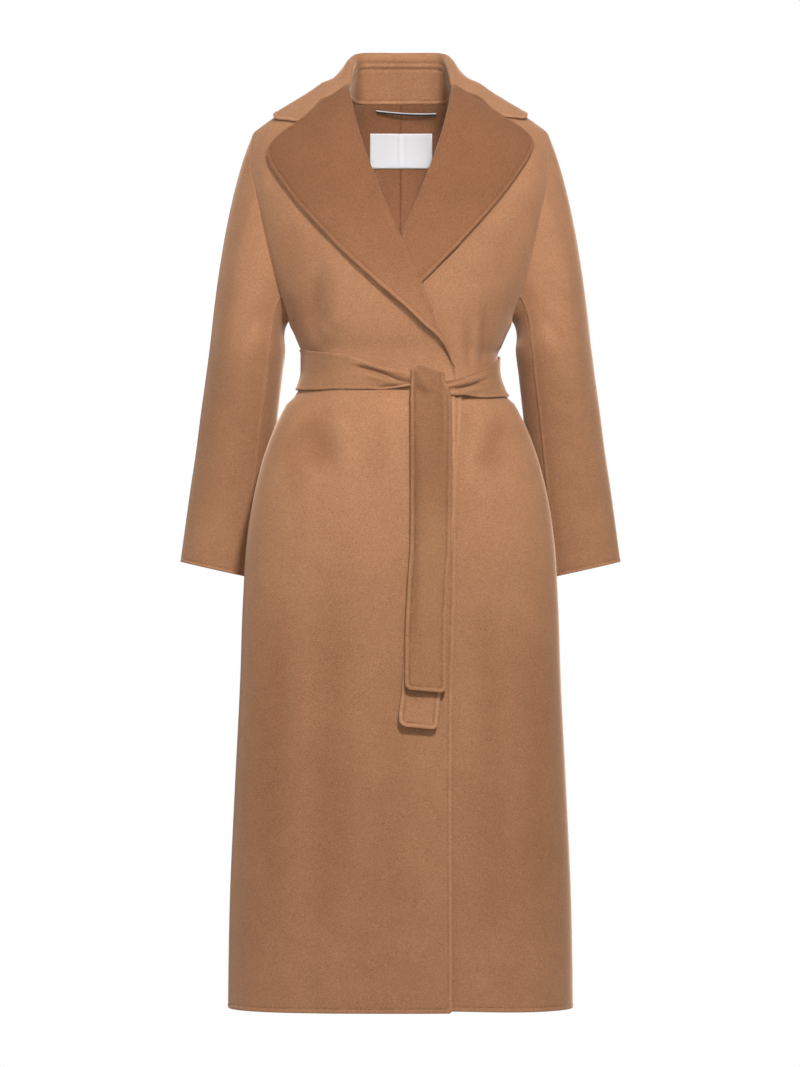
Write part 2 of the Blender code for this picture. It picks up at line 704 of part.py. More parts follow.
# ---------------------------------------------------------------- back
def back_ply(side):
    rows = []
    count = SIDE_COLUMNS + len(NECK_COLUMNS)
    shares = np.linspace(0.0, 1.0, count + 1)
    for height in ROW_HEIGHTS:
        start = 0.0
        if height > UNDERARM:
            start = -angle_at(-read(ARMHOLE, height)[0], height, BACK)
        rows.append([round_section(height, blend(start, -np.pi / 2.0, share)) for share in shares])
        rows[-1][-1][0] = 0.0
    bust_x = np.array([point[0] for point in rows[-1]])
    shoulder_x = -np.linspace(SHOULDER_TIP, NECK_POINT, SIDE_COLUMNS + 1)
    top_x = np.concatenate((shoulder_x, -NECK_COLUMNS))
    for angle in SHOULDER_ROWS:
        outer_x = -SHOULDER_TIP
        if angle < SHOULDER_ROWS[-1]:
            for _ in range(SETTLING):
                outer_x = -read(ARMHOLE, rolled(outer_x, angle, BACK)[2])[0]
        row_x = blend(bust_x, top_x, np.sin(angle))
        row_x = row_x + (outer_x - row_x[0]) * (1.0 - shares)
        row = []
        for x in row_x:
            reach = 1.0
            if abs(x) < NECK_POINT:
                neckline = read(BACK_NECK, abs(x))[2]
                reach = roll_angle(x, neckline, BACK) / (np.pi / 2.0)
            row.append(rolled(float(x), angle * reach, BACK))
        rows.append(row)
    points = np.array(rows)
    if side == LEFT:
        points = mirrored(points)
    return Ply("back_right" if side == RIGHT else "back_left", points, (0.0, 1.0, 0.0))


# ---------------------------------------------------------------- collar
def shoulder_point(x, degrees, lift):
    """A point above the roll of the shoulders, so many degrees behind (or before) its top."""
    face = BACK if degrees > 0.0 else FRONT
    angle = np.pi / 2.0 - abs(np.radians(degrees))
    point = rolled(x, angle, face)
    near = rolled(x, angle - NEAR_ANGLE, face)
    beside = rolled(x + NEAR, angle, face)
    normal = unit(np.cross(point - near, beside - point)) * face
    return point + normal * lift


def collar_column(station):
    neck_x, crest_x, crest_y, crest_z, edge_x, degrees, lift = station
    neck = rolled(-neck_x, roll_angle(-neck_x, read(BACK_NECK, neck_x)[2], BACK), BACK)
    edge = shoulder_point(-edge_x, degrees, lift)
    crest = np.array((-crest_x, crest_y, crest_z))
    up = np.array((0.0, 0.0, 1.0))
    out = unit((edge - crest) * (1.0, 1.0, 0.0))
    centre = crest - up * COLLAR_ROLL
    foot = centre - out * COLLAR_ROLL
    column = [blend(neck, foot, step / STAND_ROWS) for step in range(STAND_ROWS + 1)]
    turns = TURN_COLUMNS - STAND_ROWS
    for step in range(1, turns + 1):
        angle = np.pi * step / turns
        column.append(centre - out * COLLAR_ROLL * np.cos(angle) + up * COLLAR_ROLL * np.sin(angle))
    start = column[-1]
    bulge = unit(np.cross(np.cross(out, up), start - edge)) * FALL_BULGE
    if bulge[2] < 0.0:
        bulge = -bulge
    for step in range(1, FALL_ROWS + 1):
        share = step / FALL_ROWS
        column.append(blend(start, edge, share) + bulge * np.sin(np.pi * share))
    return np.array(column)


def collar_end(lapel_top):
    """The collar's end: sewn along the lapel's top as far as the notch, then free to its point."""
    sewn = lapel_top[SIDE_COLUMNS : SIDE_COLUMNS + TURN_COLUMNS + NOTCH + 1]
    point = shoulder_point(-COLLAR_POINT[0], *COLLAR_POINT[1:])
    free = FALL_ROWS - NOTCH
    return np.vstack((sewn, [blend(sewn[-1], point, step / free) for step in range(1, free + 1)]))


def collar_ply(front_right, front_left):
    half = [collar_column(station) for station in COLLAR[1:]]
    right = [collar_end(front_right.points[-1])] + half
    left = [mirrored(collar_end(mirrored(front_left.points[-1])))]
    left += [mirrored(column) for column in half[:-1]]
    points = np.array(right + left[::-1])
    return Ply("collar", points, (0.0, -1.0, 0.0))


# ---------------------------------------------------------------- sleeves
def sleeve_angles(armhole, under_angle):
    """Angles round the sleeve of the points of one side of the armhole, from the underarm up."""
    lengths = np.concatenate(([0.0], np.cumsum(np.linalg.norm(np.diff(armhole, axis=0), axis=1))))
    seam = SEAM_ROW - UNDERARM_ROW
    full = np.copysign(180.0, under_angle)
    under = lengths[: seam + 1] / lengths[seam] * under_angle
    above = (lengths[seam + 1 :] - lengths[seam]) / (lengths[-1] - lengths[seam])
    return np.radians(np.concatenate((under, under_angle + above * (full - under_angle))))


def sleeve_ring(height, angle):
    out, middle_y, half_width, half_depth = read(SLEEVE, height)
    slant = CUFF_SLANT * ease(SLEEVE[-1, 0], SLEEVE[0, 0], height)
    return np.array(
        (
            -out + half_width * np.cos(angle),
            middle_y - half_depth * np.sin(angle),
            height - slant * np.cos(angle),
        )
    )


def sleeve_line(start, angle):
    """One line down the sleeve, from the armhole over the sleeve head to the cuff."""
    top = sleeve_ring(SLEEVE[-1, 0], angle)
    sideways, down = CAP_REACH
    sideways = blend(UNDERARM_REACH, sideways, ease(0.0, np.radians(UNDERARM_SPREAD), abs(angle)))
    bend = np.array((*blend(start[:2], top[:2], sideways), blend(start[2], top[2], down)))
    line = []
    for step in range(CAP_STEPS + 1):
        share = step / CAP_STEPS
        line.append(start * (1 - share) ** 2 + bend * 2 * share * (1 - share) + top * share**2)
    line += [sleeve_ring(row[0], angle) for row in SLEEVE[-2::-1]]
    return line


def sleeve_plies(front, back, side):
    """Upper and under sleeve of one side, on the armhole's own points."""
    name = "right" if side == RIGHT else "left"
    front_edge = front.points[UNDERARM_ROW:, 0]
    back_edge = back.points[UNDERARM_ROW:, 0]
    if side == LEFT:
        front_edge, back_edge = mirrored(front_edge), mirrored(back_edge)
    back_angle, front_angle = UNDER_SLEEVE_ANGLES
    front_lines = [sleeve_line(*pair) for pair in zip(front_edge, sleeve_angles(front_edge, front_angle))]
    back_lines = [sleeve_line(*pair) for pair in zip(back_edge, sleeve_angles(back_edge, back_angle))]
    seam = SEAM_ROW - UNDERARM_ROW
    upper = front_lines[seam:] + back_lines[seam:-1][::-1]
    under = back_lines[1 : seam + 1][::-1] + front_lines[: seam + 1]
    plies = []
    for part, lines, outward in (("upper", upper, -1.0), ("under", under, 1.0)):
        points = np.array(lines)
        if side == LEFT:
            points = mirrored(points)
            outward = -outward
        plies.append(Ply(f"sleeve_{part}_{name}", points, (outward, 0.0, 0.0)))
    return plies


# ---------------------------------------------------------------- belt
def belt_distance(x, angle):
    return read(BELT_STAND_OFF, x)[0] if np.sin(angle) > 0.0 else BELT_STAND_OFF[0, 1]


def belt_waist_ply():
    columns = []
    for degrees in np.linspace(BELT[-1, 0], BELT[0, 0], BELT_STEPS + 1):
        top, bottom, gather = read(BELT, degrees)
        angle = np.radians(degrees)
        column = []
        for share, ripple in zip(np.linspace(0.0, 1.0, len(GATHERS)), GATHERS):
            height = blend(bottom, top, share)
            point = round_section(height, angle)
            ahead = round_section(height, angle - NEAR_ANGLE / 2.0)
            behind = round_section(height, angle + NEAR_ANGLE / 2.0)
            above = round_section(height + NEAR, angle)
            normal = unit(np.cross(ahead - behind, above - point))
            if np.dot(normal[:2], point[:2]) < 0.0:
                normal = -normal
            column.append(point + normal * (belt_distance(point[0], angle) + gather * (1.0 + ripple)))
        columns.append(column)
    return Ply("belt_waist", columns, (0.0, 1.0, 0.0))


def belt_row(x, height, distance, corner=0.0):
    """One row across a hanging end of the belt, with its outer points on the arc of a rounded corner."""
    row = []
    for place in END_COLUMNS:
        rise = 0.0
        if abs(place) == BELT_WIDTH / 2.0:
            rise = corner * (1.0 - np.sqrt(0.5))
        row.append(off_body(x + place - np.sign(place) * rise, height + rise, FRONT, distance))
    return row


def belt_end(table):
    rows = []
    for height, x, distance in table:
        corner = END_CORNER if height == table[0, 0] else 0.0
        rows.append(belt_row(x, height, distance, corner))
    return rows


def belt_end_plies():
    """Both hanging ends. The front one comes up behind the belt and turns over it to hang in front."""
    back = belt_end(END_BACK)
    front = belt_end(END_FRONT)
    top, bottom, distance = LOOP_LEG
    x, front_distance = END_FRONT[-1, 1:]
    radius = (front_distance - distance) / 2.0
    for step in range(LOOP_TURN_STEPS + 1):
        angle = np.pi * step / LOOP_TURN_STEPS
        height = top + radius * np.sin(angle)
        front.append(belt_row(x, height, distance + radius * (1.0 + np.cos(angle))))
    front.append(belt_row(x, bottom, distance))
    outward = (0.0, -1.0, 0.0)
    return [Ply("belt_end_front", front, outward), Ply("belt_end_back", back, outward)]


# ---------------------------------------------------------------- label and hanging loop
def inside_back(backs, x, height, slack=0.0):
    """A point for a ribbon that lies inside the back."""
    point, away = backs[RIGHT if x < 0.0 else LEFT].inside(x, height)
    return point + away * (SEAM_GAP + RIBBON / 2.0 + slack)


def label_ply(backs):
    middle, width, top, bottom = LABEL
    places = np.linspace(middle - width / 2.0, middle + width / 2.0, LABEL_COLUMNS)
    heights = np.linspace(bottom, top, LABEL_ROWS)
    points = [[inside_back(backs, x, height) for x in places] for height in heights]
    return Ply("label", points, (0.0, 1.0, 0.0), RIBBON, LABEL_GREY)


def hanger_ply(backs):
    start, end, height, sag = HANGER
    shares = np.linspace(0.0, 1.0, HANGER_COLUMNS)
    rows = []
    for z in (height - HANGER_WIDTH / 2.0, height + HANGER_WIDTH / 2.0):
        rows.append([inside_back(backs, blend(start, end, s), z, sag * np.sin(np.pi * s)) for s in shares])
    return Ply("hanger_loop", rows, (0.0, 1.0, 0.0), RIBBON, SATIN_BLACK)


# ---------------------------------------------------------------- the coat
for old in list(bpy.data.objects):
    bpy.data.objects.remove(old, do_unlink=True)

fronts = {side: front_ply(side) for side in (RIGHT, LEFT)}
backs = {side: back_ply(side) for side in (RIGHT, LEFT)}
coat = list(fronts.values()) + list(backs.values())
for side in (RIGHT, LEFT):
    coat += sleeve_plies(fronts[side], backs[side], side)
coat.append(collar_ply(fronts[RIGHT], fronts[LEFT]))
sew(coat)
for ply in coat + [belt_waist_ply(), *belt_end_plies(), label_ply(backs), hanger_ply(backs)]:
    ply.build()
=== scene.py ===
"""A long camel wrap coat of double-face wool with its own tie belt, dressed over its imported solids.

The front faces -Y and +Z is up. The origin lies between the wearer's shoulders, where the neck meets them.
"Right" and "left" are the wearer's. The file follows the coat as it is put together: the backs first, then
the fronts with their lapels, the sleeves, the collar, the belt, and last the hanging loop and the label.
"""

import bpy
import numpy as np
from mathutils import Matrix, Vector, kdtree


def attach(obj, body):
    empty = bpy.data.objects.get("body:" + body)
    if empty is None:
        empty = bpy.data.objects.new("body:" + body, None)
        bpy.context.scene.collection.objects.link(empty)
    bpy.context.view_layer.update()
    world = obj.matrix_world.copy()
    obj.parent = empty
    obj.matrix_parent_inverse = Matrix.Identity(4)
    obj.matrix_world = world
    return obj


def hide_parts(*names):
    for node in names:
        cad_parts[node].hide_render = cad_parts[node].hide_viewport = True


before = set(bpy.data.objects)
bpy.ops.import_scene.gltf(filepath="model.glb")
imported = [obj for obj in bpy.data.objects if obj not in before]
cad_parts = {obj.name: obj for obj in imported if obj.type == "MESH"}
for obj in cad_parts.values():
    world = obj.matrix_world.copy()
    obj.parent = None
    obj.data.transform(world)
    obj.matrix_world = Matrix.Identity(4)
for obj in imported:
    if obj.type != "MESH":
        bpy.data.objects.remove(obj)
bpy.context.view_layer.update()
scene = bpy.context.scene

# ---------------- the studio
# A small pale floor well below the hem, as low as the wearer's feet would be, and a white room that gives a
# dim even light. The main light stands high in front and a little to one side, so hems and edges throw short
# soft shadows; weaker ones stand straight in front, at both sides, above and behind.
FLOOR_HEIGHT, FLOOR_RADIUS, FLOOR_CORNERS = -1.43, 1.05, 96
ROOM_LIGHT = 0.28  # how brightly the room lights the coat, while it looks white itself
CAMERA_DISTANCE = 9.0
CAMERA_MIDDLE = (-0.0007, -0.59)  # x and height that the camera looks at
PICTURE_HEIGHT = 1.494  # height of the picture at the coat
SENSOR = 36.0  # width of the camera's sensor in millimetres


def fill(made, inputs):
    """Sets the inputs of a shader node to values, or to what comes out of other nodes."""
    for socket, value in inputs.items():
        if isinstance(value, bpy.types.NodeSocket):
            made.id_data.links.new(value, made.inputs[socket])
        else:
            made.inputs[socket].default_value = value


def node(tree, kind, inputs=None, **settings):
    """A new shader node with its settings and inputs."""
    made = tree.nodes.new("ShaderNode" + kind)
    for setting, value in settings.items():
        setattr(made, setting, value)
    fill(made, inputs or {})
    return made


def surface(name, inputs):
    """A new material with inputs set on its shader, and the tree that its other nodes go into."""
    material = bpy.data.materials.new(name)
    material.use_nodes = True
    shader = material.node_tree.nodes["Principled BSDF"]
    fill(shader, inputs)
    return material, material.node_tree, shader


floor_mesh = bpy.data.meshes.new("floor")
rim = [
    (FLOOR_RADIUS * np.cos(angle), FLOOR_RADIUS * np.sin(angle), FLOOR_HEIGHT)
    for angle in np.linspace(0.0, 2.0 * np.pi, FLOOR_CORNERS, endpoint=False)
]
floor_mesh.from_pydata(rim, [], [tuple(range(len(rim)))])
floor = bpy.data.objects.new("floor", floor_mesh)
scene.collection.objects.link(floor)
PALE_FLOOR = {
    "Base Color": (0.8, 0.795, 0.79, 1.0),
    "Roughness": 0.9,
    "Emission Color": (1.0, 1.0, 1.0, 1.0),
    "Emission Strength": 0.02,
}
floor_mesh.materials.append(surface("pale_floor", PALE_FLOOR)[0])

room = bpy.data.worlds.new("white_room")
room.use_nodes = True
seen = node(room.node_tree, "LightPath").outputs["Is Camera Ray"]
dimmed = {0: seen, 1: 1.0 - ROOM_LIGHT, 2: ROOM_LIGHT}
dimmer = node(room.node_tree, "Math", dimmed, operation="MULTIPLY_ADD")
white = {"Color": (1.0, 1.0, 1.0, 1.0), "Strength": dimmer.outputs["Value"]}
fill(room.node_tree.nodes["Background"], white)
scene.world = room
scene.view_settings.view_transform = "Standard"

# Soft boxes: place, what they point at, size, power and spread in degrees.
SOFT_BOXES = {
    "key": ((0.8, -3.6, 2.4), (0.0, 0.0, -0.52), 0.5, 17.0, 50.0),
    "front": ((0.0, -3.2, -0.1), (0.0, 0.0, -0.3), 1.2, 1.9, 50.0),
    "right": ((-3.2, -1.0, 0.1), (0.0, 0.0, -0.45), 1.6, 20.0, 180.0),
    "left": ((3.2, -1.0, 0.1), (0.0, 0.0, -0.55), 1.6, 5.5, 180.0),
    "top": ((0.0, -0.6, 1.7), (0.0, 0.0, -0.1), 1.2, 3.0, 180.0),
    "neck": ((0.0, -5.0, 0.8), (0.0, 0.05, -0.05), 0.6, 0.6, 14.0),
    "back": ((0.6, 3.6, 1.0), (0.0, 0.0, -0.5), 1.6, 9.0, 60.0),
}
for name, (place, aim, size, power, spread) in SOFT_BOXES.items():
    light = bpy.data.lights.new(name, "AREA")
    light.size = size
    light.energy = power
    light.spread = np.radians(spread)
    lamp = bpy.data.objects.new(name, light)
    lamp.location = place
    lamp.rotation_euler = (Vector(aim) - Vector(place)).to_track_quat("-Z", "Y").to_euler()
    scene.collection.objects.link(lamp)

lens = bpy.data.cameras.new("camera")
lens.sensor_width = SENSOR
lens.lens = SENSOR * CAMERA_DISTANCE / PICTURE_HEIGHT
camera = bpy.data.objects.new("camera", lens)
camera.location = (CAMERA_MIDDLE[0], -CAMERA_DISTANCE, CAMERA_MIDDLE[1])
camera.rotation_euler = (np.pi / 2.0, 0.0, 0.0)
scene.collection.objects.link(camera)
scene.camera = camera

# ---------------- the two backs
# Two panels of double-face wool, joined by the centre back seam. They hang from the shoulder seams, are drawn
# in at the waist by the belt and spread to the hem. Each panel is shaped by steam, and its edges are sewn.
RIGHT, LEFT = -1, 1  # the wearer's sides
FRONT, BACK = -1, 1  # the faces of the body
BACKWARD = (0.0, 1.0, 0.0)
CLOTH = 0.002  # thickness of the double-face wool
BUST_HEIGHT = -0.12  # above this the cloth starts to roll over the shoulders
UNDERARM = -0.291
HEM = -1.251
POWER = {FRONT: 2.4, BACK: 2.0}  # of the sections: 2 gives an ellipse, more gives squarer corners


def table(*rows):
    """A table of sizes, one row for each place."""
    return np.array(rows)


# Horizontal sections: height, half width, y of the front, y of the back, y of the side seam.
BODY = table(
    (HEM, 0.24, -0.164, 0.17, -0.024),
    (-1.124, 0.238, -0.161, 0.166, -0.027),
    (-1.0, 0.233, -0.158, 0.162, -0.03),
    (-0.88, 0.227, -0.154, 0.158, -0.033),
    (-0.743, 0.2205, -0.15, 0.153, -0.036),
    (-0.65, 0.2175, -0.147, 0.149, -0.037),
    (-0.595, 0.2128, -0.144, 0.145, -0.037),
    (-0.552, 0.206, -0.14, 0.14, -0.036),
    (-0.501, 0.1957, -0.134, 0.133, -0.033),
    (-0.466, 0.1843, -0.128, 0.126, -0.028),
    (-0.434, 0.171, -0.122, 0.118, -0.022),
    (-0.409, 0.158, -0.116, 0.11, -0.016),
    (-0.389, 0.145, -0.11, 0.102, -0.01),
    (-0.362, 0.138, -0.105, 0.095, -0.005),
    (-0.34, 0.138, -0.106, 0.095, -0.003),
    (-0.325, 0.1425, -0.109, 0.096, -0.002),
    (-0.291, 0.1558, -0.116, 0.1, 0.0),
    (-0.25, 0.166, -0.121, 0.104, 0.0),
    (-0.2, 0.18, -0.124, 0.108, 0.0),
    (-0.15, 0.192, -0.124, 0.11, 0.0),
    (-0.12, 0.197, -0.122, 0.111, 0.0),
)
# Armhole: height, distance of the seam from the middle, y of its front edge, y of its back edge.
ARMHOLE = table(
    (-0.291, 0.1558, -0.001, 0.001),
    (-0.287, 0.1568, -0.016, 0.016),
    (-0.276, 0.16, -0.03, 0.031),
    (-0.26, 0.166, -0.041, 0.043),
    (-0.225, 0.1755, -0.053, 0.056),
    (-0.175, 0.1875, -0.058, 0.063),
    (-0.12, 0.199, -0.054, 0.063),
    (-0.078, 0.2065, -0.054, 0.063),
    (-0.029, 0.205, -0.054, 0.063),
)
# Shoulder seam: distance from the middle, y, height.
NECK_POINT = 0.076
SHOULDER_TIP = 0.205
SHOULDER = table(
    (0.0, -0.016, 0.034),
    (0.04, -0.016, 0.033),
    (0.076, -0.016, 0.03),
    (0.11, -0.009, 0.019),
    (0.14, -0.003, 0.008),
    (0.174, 0.001, -0.007),
    (0.205, 0.002, -0.029),
)
SHOULDER_ROUNDNESS = (1.25, 1.8)  # power of the roll over the shoulder, at the neck and at the tip
BACK_ROUNDNESS = 1.7
# Neckline: distance from the middle, y and height that the cloth would roll up to, height of the neck seam.
BACK_NECK = table(
    (0.0, 0.025, 0.064, 0.015),
    (0.03, 0.018, 0.058, 0.0146),
    (0.05, 0.007, 0.049, 0.014),
    (0.064, -0.004, 0.04, 0.0146),
    (0.07, -0.01, 0.035, 0.018),
    (0.076, -0.016, 0.03, 0.03),
)
# The lines on which a panel is shaped, from the hem up, and then round the shoulder in degrees.
SKIRT_ROWS = (HEM, -1.1, -0.94, -0.8, -0.68, -0.59, -0.52, -0.47, -0.434, -0.409, -0.389)
WAIST_ROWS = (-0.372, -0.362, -0.35, -0.335, -0.315)
ARMHOLE_ROWS = (-0.291, -0.287, -0.276, -0.26, -0.225, -0.175, -0.12)
SHOULDER_ROWS = np.radians((16.0, 31.0, 46.0, 60.0, 73.0, 83.0, 90.0))
ROW_HEIGHTS = SKIRT_ROWS + WAIST_ROWS + ARMHOLE_ROWS
SEAM_ROW = ROW_HEIGHTS.index(-0.26)  # the sleeve's front and back seams meet the armhole here
SIDE_COLUMNS = 10
NECK_COLUMNS = np.array((0.0742, 0.0705, 0.064, 0.054, 0.04, 0.0205, 0.0))
SHOULDER_REACH = 0.17  # length of cloth that rolls over the shoulder, for a quarter turn
ROW_KNOTS = np.concatenate((ROW_HEIGHTS, BUST_HEIGHT + SHOULDER_REACH * SHOULDER_ROWS))
STEEPEST = 0.998  # share of the way up past which a point counts as on top of the shoulder
TINY = 1e-12  # keeps a length from being nothing where something is divided by it
SETTLING = 6  # rounds in which a row finds the edges that it runs between


def tangents(knots, values):
    """Slopes of a smooth curve at its knots, each leaning to the nearer neighbour."""
    spans = np.diff(knots)
    spans = spans.reshape((-1,) + (1,) * (values.ndim - 1))
    slopes = np.diff(values, axis=0) / spans
    inner = (slopes[:-1] * spans[1:] + slopes[1:] * spans[:-1]) / (spans[:-1] + spans[1:])
    first = 1.5 * slopes[:1] - 0.5 * inner[:1]
    last = 1.5 * slopes[-1:] - 0.5 * inner[-1:]
    return np.concatenate((first, inner, last))


def steady_tangents(knots, values):
    """Slopes of a curve that never swings past its own knots."""
    spans = np.diff(knots)[:, None]
    slopes = np.diff(values, axis=0) / spans
    before, after = slopes[:-1], slopes[1:]
    weight = (spans[:-1] + 2.0 * spans[1:]) / (3.0 * (spans[:-1] + spans[1:]))
    product = before * after
    mixed = weight * after + (1.0 - weight) * before
    inner = np.where(product > 0.0, product / np.where(product > 0.0, mixed, 1.0), 0.0)
    return np.concatenate((slopes[:1], inner, slopes[-1:]))


def curve(knots, values, slopes, places):
    """Values at places along the smooth curve through the knots."""
    places = np.clip(places, knots[0], knots[-1])
    row = np.clip(np.searchsorted(knots, places, side="right") - 1, 0, len(knots) - 2)
    spans = np.diff(knots)[row]
    share = (places - knots[row]) / spans
    wide = (-1,) + (1,) * (values.ndim - 1)
    share, spans = share.reshape(wide), spans.reshape(wide)
    return (
        values[row] * (1 - share) ** 2 * (1 + 2 * share)
        + values[row + 1] * share**2 * (3 - 2 * share)
        + slopes[row] * spans * share * (1 - share) ** 2
        - slopes[row + 1] * spans * share**2 * (1 - share)
    )


def read(sizes, key):
    """The other columns of a table at a key, along a smooth curve through its rows."""
    keys, values = sizes[:, 0], sizes[:, 1:]
    return curve(keys, values, steady_tangents(keys, values), np.array([float(key)]))[0]


def blend(start, end, share):
    return np.asarray(start) * (1.0 - share) + np.asarray(end) * share


def ease(low, high, value):
    """Rises softly from 0 to 1 while a value goes from low to high."""
    share = np.clip((value - low) / (high - low), 0.0, 1.0)
    return share * share * (3.0 - 2.0 * share)


def unit(vector):
    return vector / np.maximum(np.linalg.norm(vector, axis=-1, keepdims=True), TINY)


def mirrored(points):
    return np.array(points) * (-1.0, 1.0, 1.0)


def section(height, face):
    """Half width, y of its widest line and depth of a section's front or back half."""
    half, front, back, side = read(BODY, height)
    depth = side - front if face == FRONT else back - side
    if height > UNDERARM:
        seam_x, seam_front, seam_back = read(ARMHOLE, height)
        seam_depth = abs((seam_front if face == FRONT else seam_back) - side)
        half = seam_x / (1.0 - (seam_depth / depth) ** POWER[face]) ** (1.0 / POWER[face])
    return half, side, depth


def level_y(x, height, face):
    half, side, depth = section(min(height, BUST_HEIGHT), face)
    share = min(abs(x) / half, 1.0)
    return side + face * depth * (1.0 - share ** POWER[face]) ** (1.0 / POWER[face])


def ridge(x, face):
    """y and height of the line that the cloth rolls up to over the shoulders."""
    if face == BACK and abs(x) < NECK_POINT:
        return read(BACK_NECK, abs(x))[:2]
    return read(SHOULDER, abs(x))


def roll_power(x, face):
    """How round the roll over the shoulder is at a distance from the middle."""
    if face == BACK:
        return 2.0 / BACK_ROUNDNESS
    share = min(max((abs(x) - NECK_POINT) / (SHOULDER_TIP - NECK_POINT), 0.0), 1.0)
    return 2.0 / blend(*SHOULDER_ROUNDNESS, share)


def rolled(x, angle, face):
    """A point on the roll over the shoulder: angle 0 is at the bust, a right angle is the shoulder seam."""
    ridge_y, ridge_z = ridge(x, face)
    power = roll_power(x, face)
    y = blend(ridge_y, level_y(x, BUST_HEIGHT, face), max(np.cos(angle), 0.0) ** power)
    z = blend(BUST_HEIGHT, ridge_z, np.sin(angle) ** power)
    return np.array((x, float(y), float(z)))


def roll_angle(x, height, face):
    """The angle on the roll over the shoulder at which it reaches a height."""
    rise = (height - BUST_HEIGHT) / (ridge(x, face)[1] - BUST_HEIGHT)
    return float(np.arcsin(min(max(rise, 0.0), STEEPEST) ** (1.0 / roll_power(x, face))))


def round_section(height, angle):
    """A point on the section at an angle: 0 at the wearer's right side, 90 in front, -90 at the back."""
    face = FRONT if np.sin(angle) >= 0.0 else BACK
    half, side, depth = section(height, face)
    power = 2.0 / POWER[face]
    x = -half * np.sign(np.cos(angle)) * abs(np.cos(angle)) ** power
    return np.array((x, side + face * depth * abs(np.sin(angle)) ** power, height))


def angle_at(x, height, face):
    """The angle round the section at which it passes a given x."""
    angle = np.arccos(min(abs(x) / section(height, face)[0], 1.0) ** (POWER[face] / 2.0))
    return angle if x < 0.0 else np.pi - angle


def level_lines(face, end_angle, shares):
    """A panel's shaping points up to the bust, from the side seam or the armhole to an end angle."""
    rows = []
    for height in ROW_HEIGHTS:
        start, end = 0.0, end_angle(height)
        if height > UNDERARM:
            start = -face * angle_at(-read(ARMHOLE, height)[0], height, face)
        rows.append([round_section(height, blend(start, end, share)) for share in shares])
    return rows


def back_lines():
    """The right back's shaping points: lines across it, from the side seam to the centre back seam."""
    shares = np.linspace(0.0, 1.0, SIDE_COLUMNS + len(NECK_COLUMNS) + 1)
    rows = level_lines(BACK, lambda height: -np.pi / 2.0, shares)
    for row in rows:
        row[-1][0] = 0.0
    bust_x = np.array([point[0] for point in rows[-1]])
    top_x = np.concatenate((-np.linspace(SHOULDER_TIP, NECK_POINT, SIDE_COLUMNS + 1), -NECK_COLUMNS))
    for angle in SHOULDER_ROWS:
        outer_x = -SHOULDER_TIP
        if angle < SHOULDER_ROWS[-1]:
            for _ in range(SETTLING):
                outer_x = -read(ARMHOLE, rolled(outer_x, angle, BACK)[2])[0]
        row_x = blend(bust_x, top_x, np.sin(angle))
        row_x = row_x + (outer_x - row_x[0]) * (1.0 - shares)
        row = []
        for x in row_x:
            reach = 1.0
            if abs(x) < NECK_POINT:
                reach = roll_angle(x, read(BACK_NECK, abs(x))[2], BACK) / (np.pi / 2.0)
            row.append(rolled(float(x), angle * reach, BACK))
        rows.append(row)
    return np.array(rows)


# The way cloth is drawn: shaping points are smoothed, then the panel is thickened to either side. A sewn edge
# is drawn in to a narrow seam, and where its allowance is felled a ridge stands up beside it. A free edge is
# turned in and slip-stitched, so a soft band with a stitched groove runs along it.
PLAIN, SEWN, FELLED, FREE = "plain", "sewn", "felled", "free"
# Steps of the mesh in from an edge of each kind. Later pieces add kinds of their own here and below.
EDGE_STEPS = {
    PLAIN: (0.0,),
    SEWN: (0.0, 0.0006, 0.0014, 0.0024, 0.0034, 0.005),
    FREE: (0.0, 0.0004, 0.0012, 0.0024, 0.0038, 0.005, 0.0057, 0.0062, 0.0067, 0.0074, 0.0088, 0.011),
}
# Turned-in edges: how far in the stitched groove runs, its depth, and the height of the band outside it.
FINISH = {FREE: (0.0062, 0.0004, 0.0004)}
GROOVE_REACH, BAND_REACH = 0.0013, 0.0026
BAND_PLACE = 0.5  # the band's middle, as a share of the groove's distance from the edge
# Light painted into the wool along the edges: the bands are paler, partly wear and partly painted highlight;
# the stitched grooves are painted darker as painted shade; the ridge of a felled seam gets a painted
# highlight; the rim is paler, partly wear and partly painted highlight.
EDGE_WEAR_AND_PAINTED_LIGHT = 0.3  # how much paler the bands are and how much darker the grooves, through the nap
FULL_EDGE_TONE_RISE = 0.00055  # height of a band that is worn as much as that
FELL_PAINTED_HIGHLIGHT = 0.8  # share of it for the ridge along a felled seam
UNTONED, RIM_WEAR_AND_HIGHLIGHT = 0.5, 0.6  # the nap away from the edges, and on the rim
# Painted shade in the troughs of creases and painted highlight on their ridges: how much for each metre of
# depth, and the most of each.
CREASE_PAINTED_SHADE = 75.0  # how much deeper the nap looks in a trough, for each metre of its depth
DEEPEST_PAINTED_SHADE, PALEST_PAINTED_HIGHLIGHT = 0.3, 0.1  # most that a trough darkens and a ridge pales the nap
# Waves in which hand stitches vary: how close they are along x and up, and their share.
UNEVEN = ((171.0, 97.0, 0.26), (-83.0, 263.0, 0.2), (390.0, -610.0, 0.16))
EDGE_ROUND = 0.0012  # radius of a free edge
EDGE_LEAST = 0.4  # share of the cloth's thickness that is left right at an edge
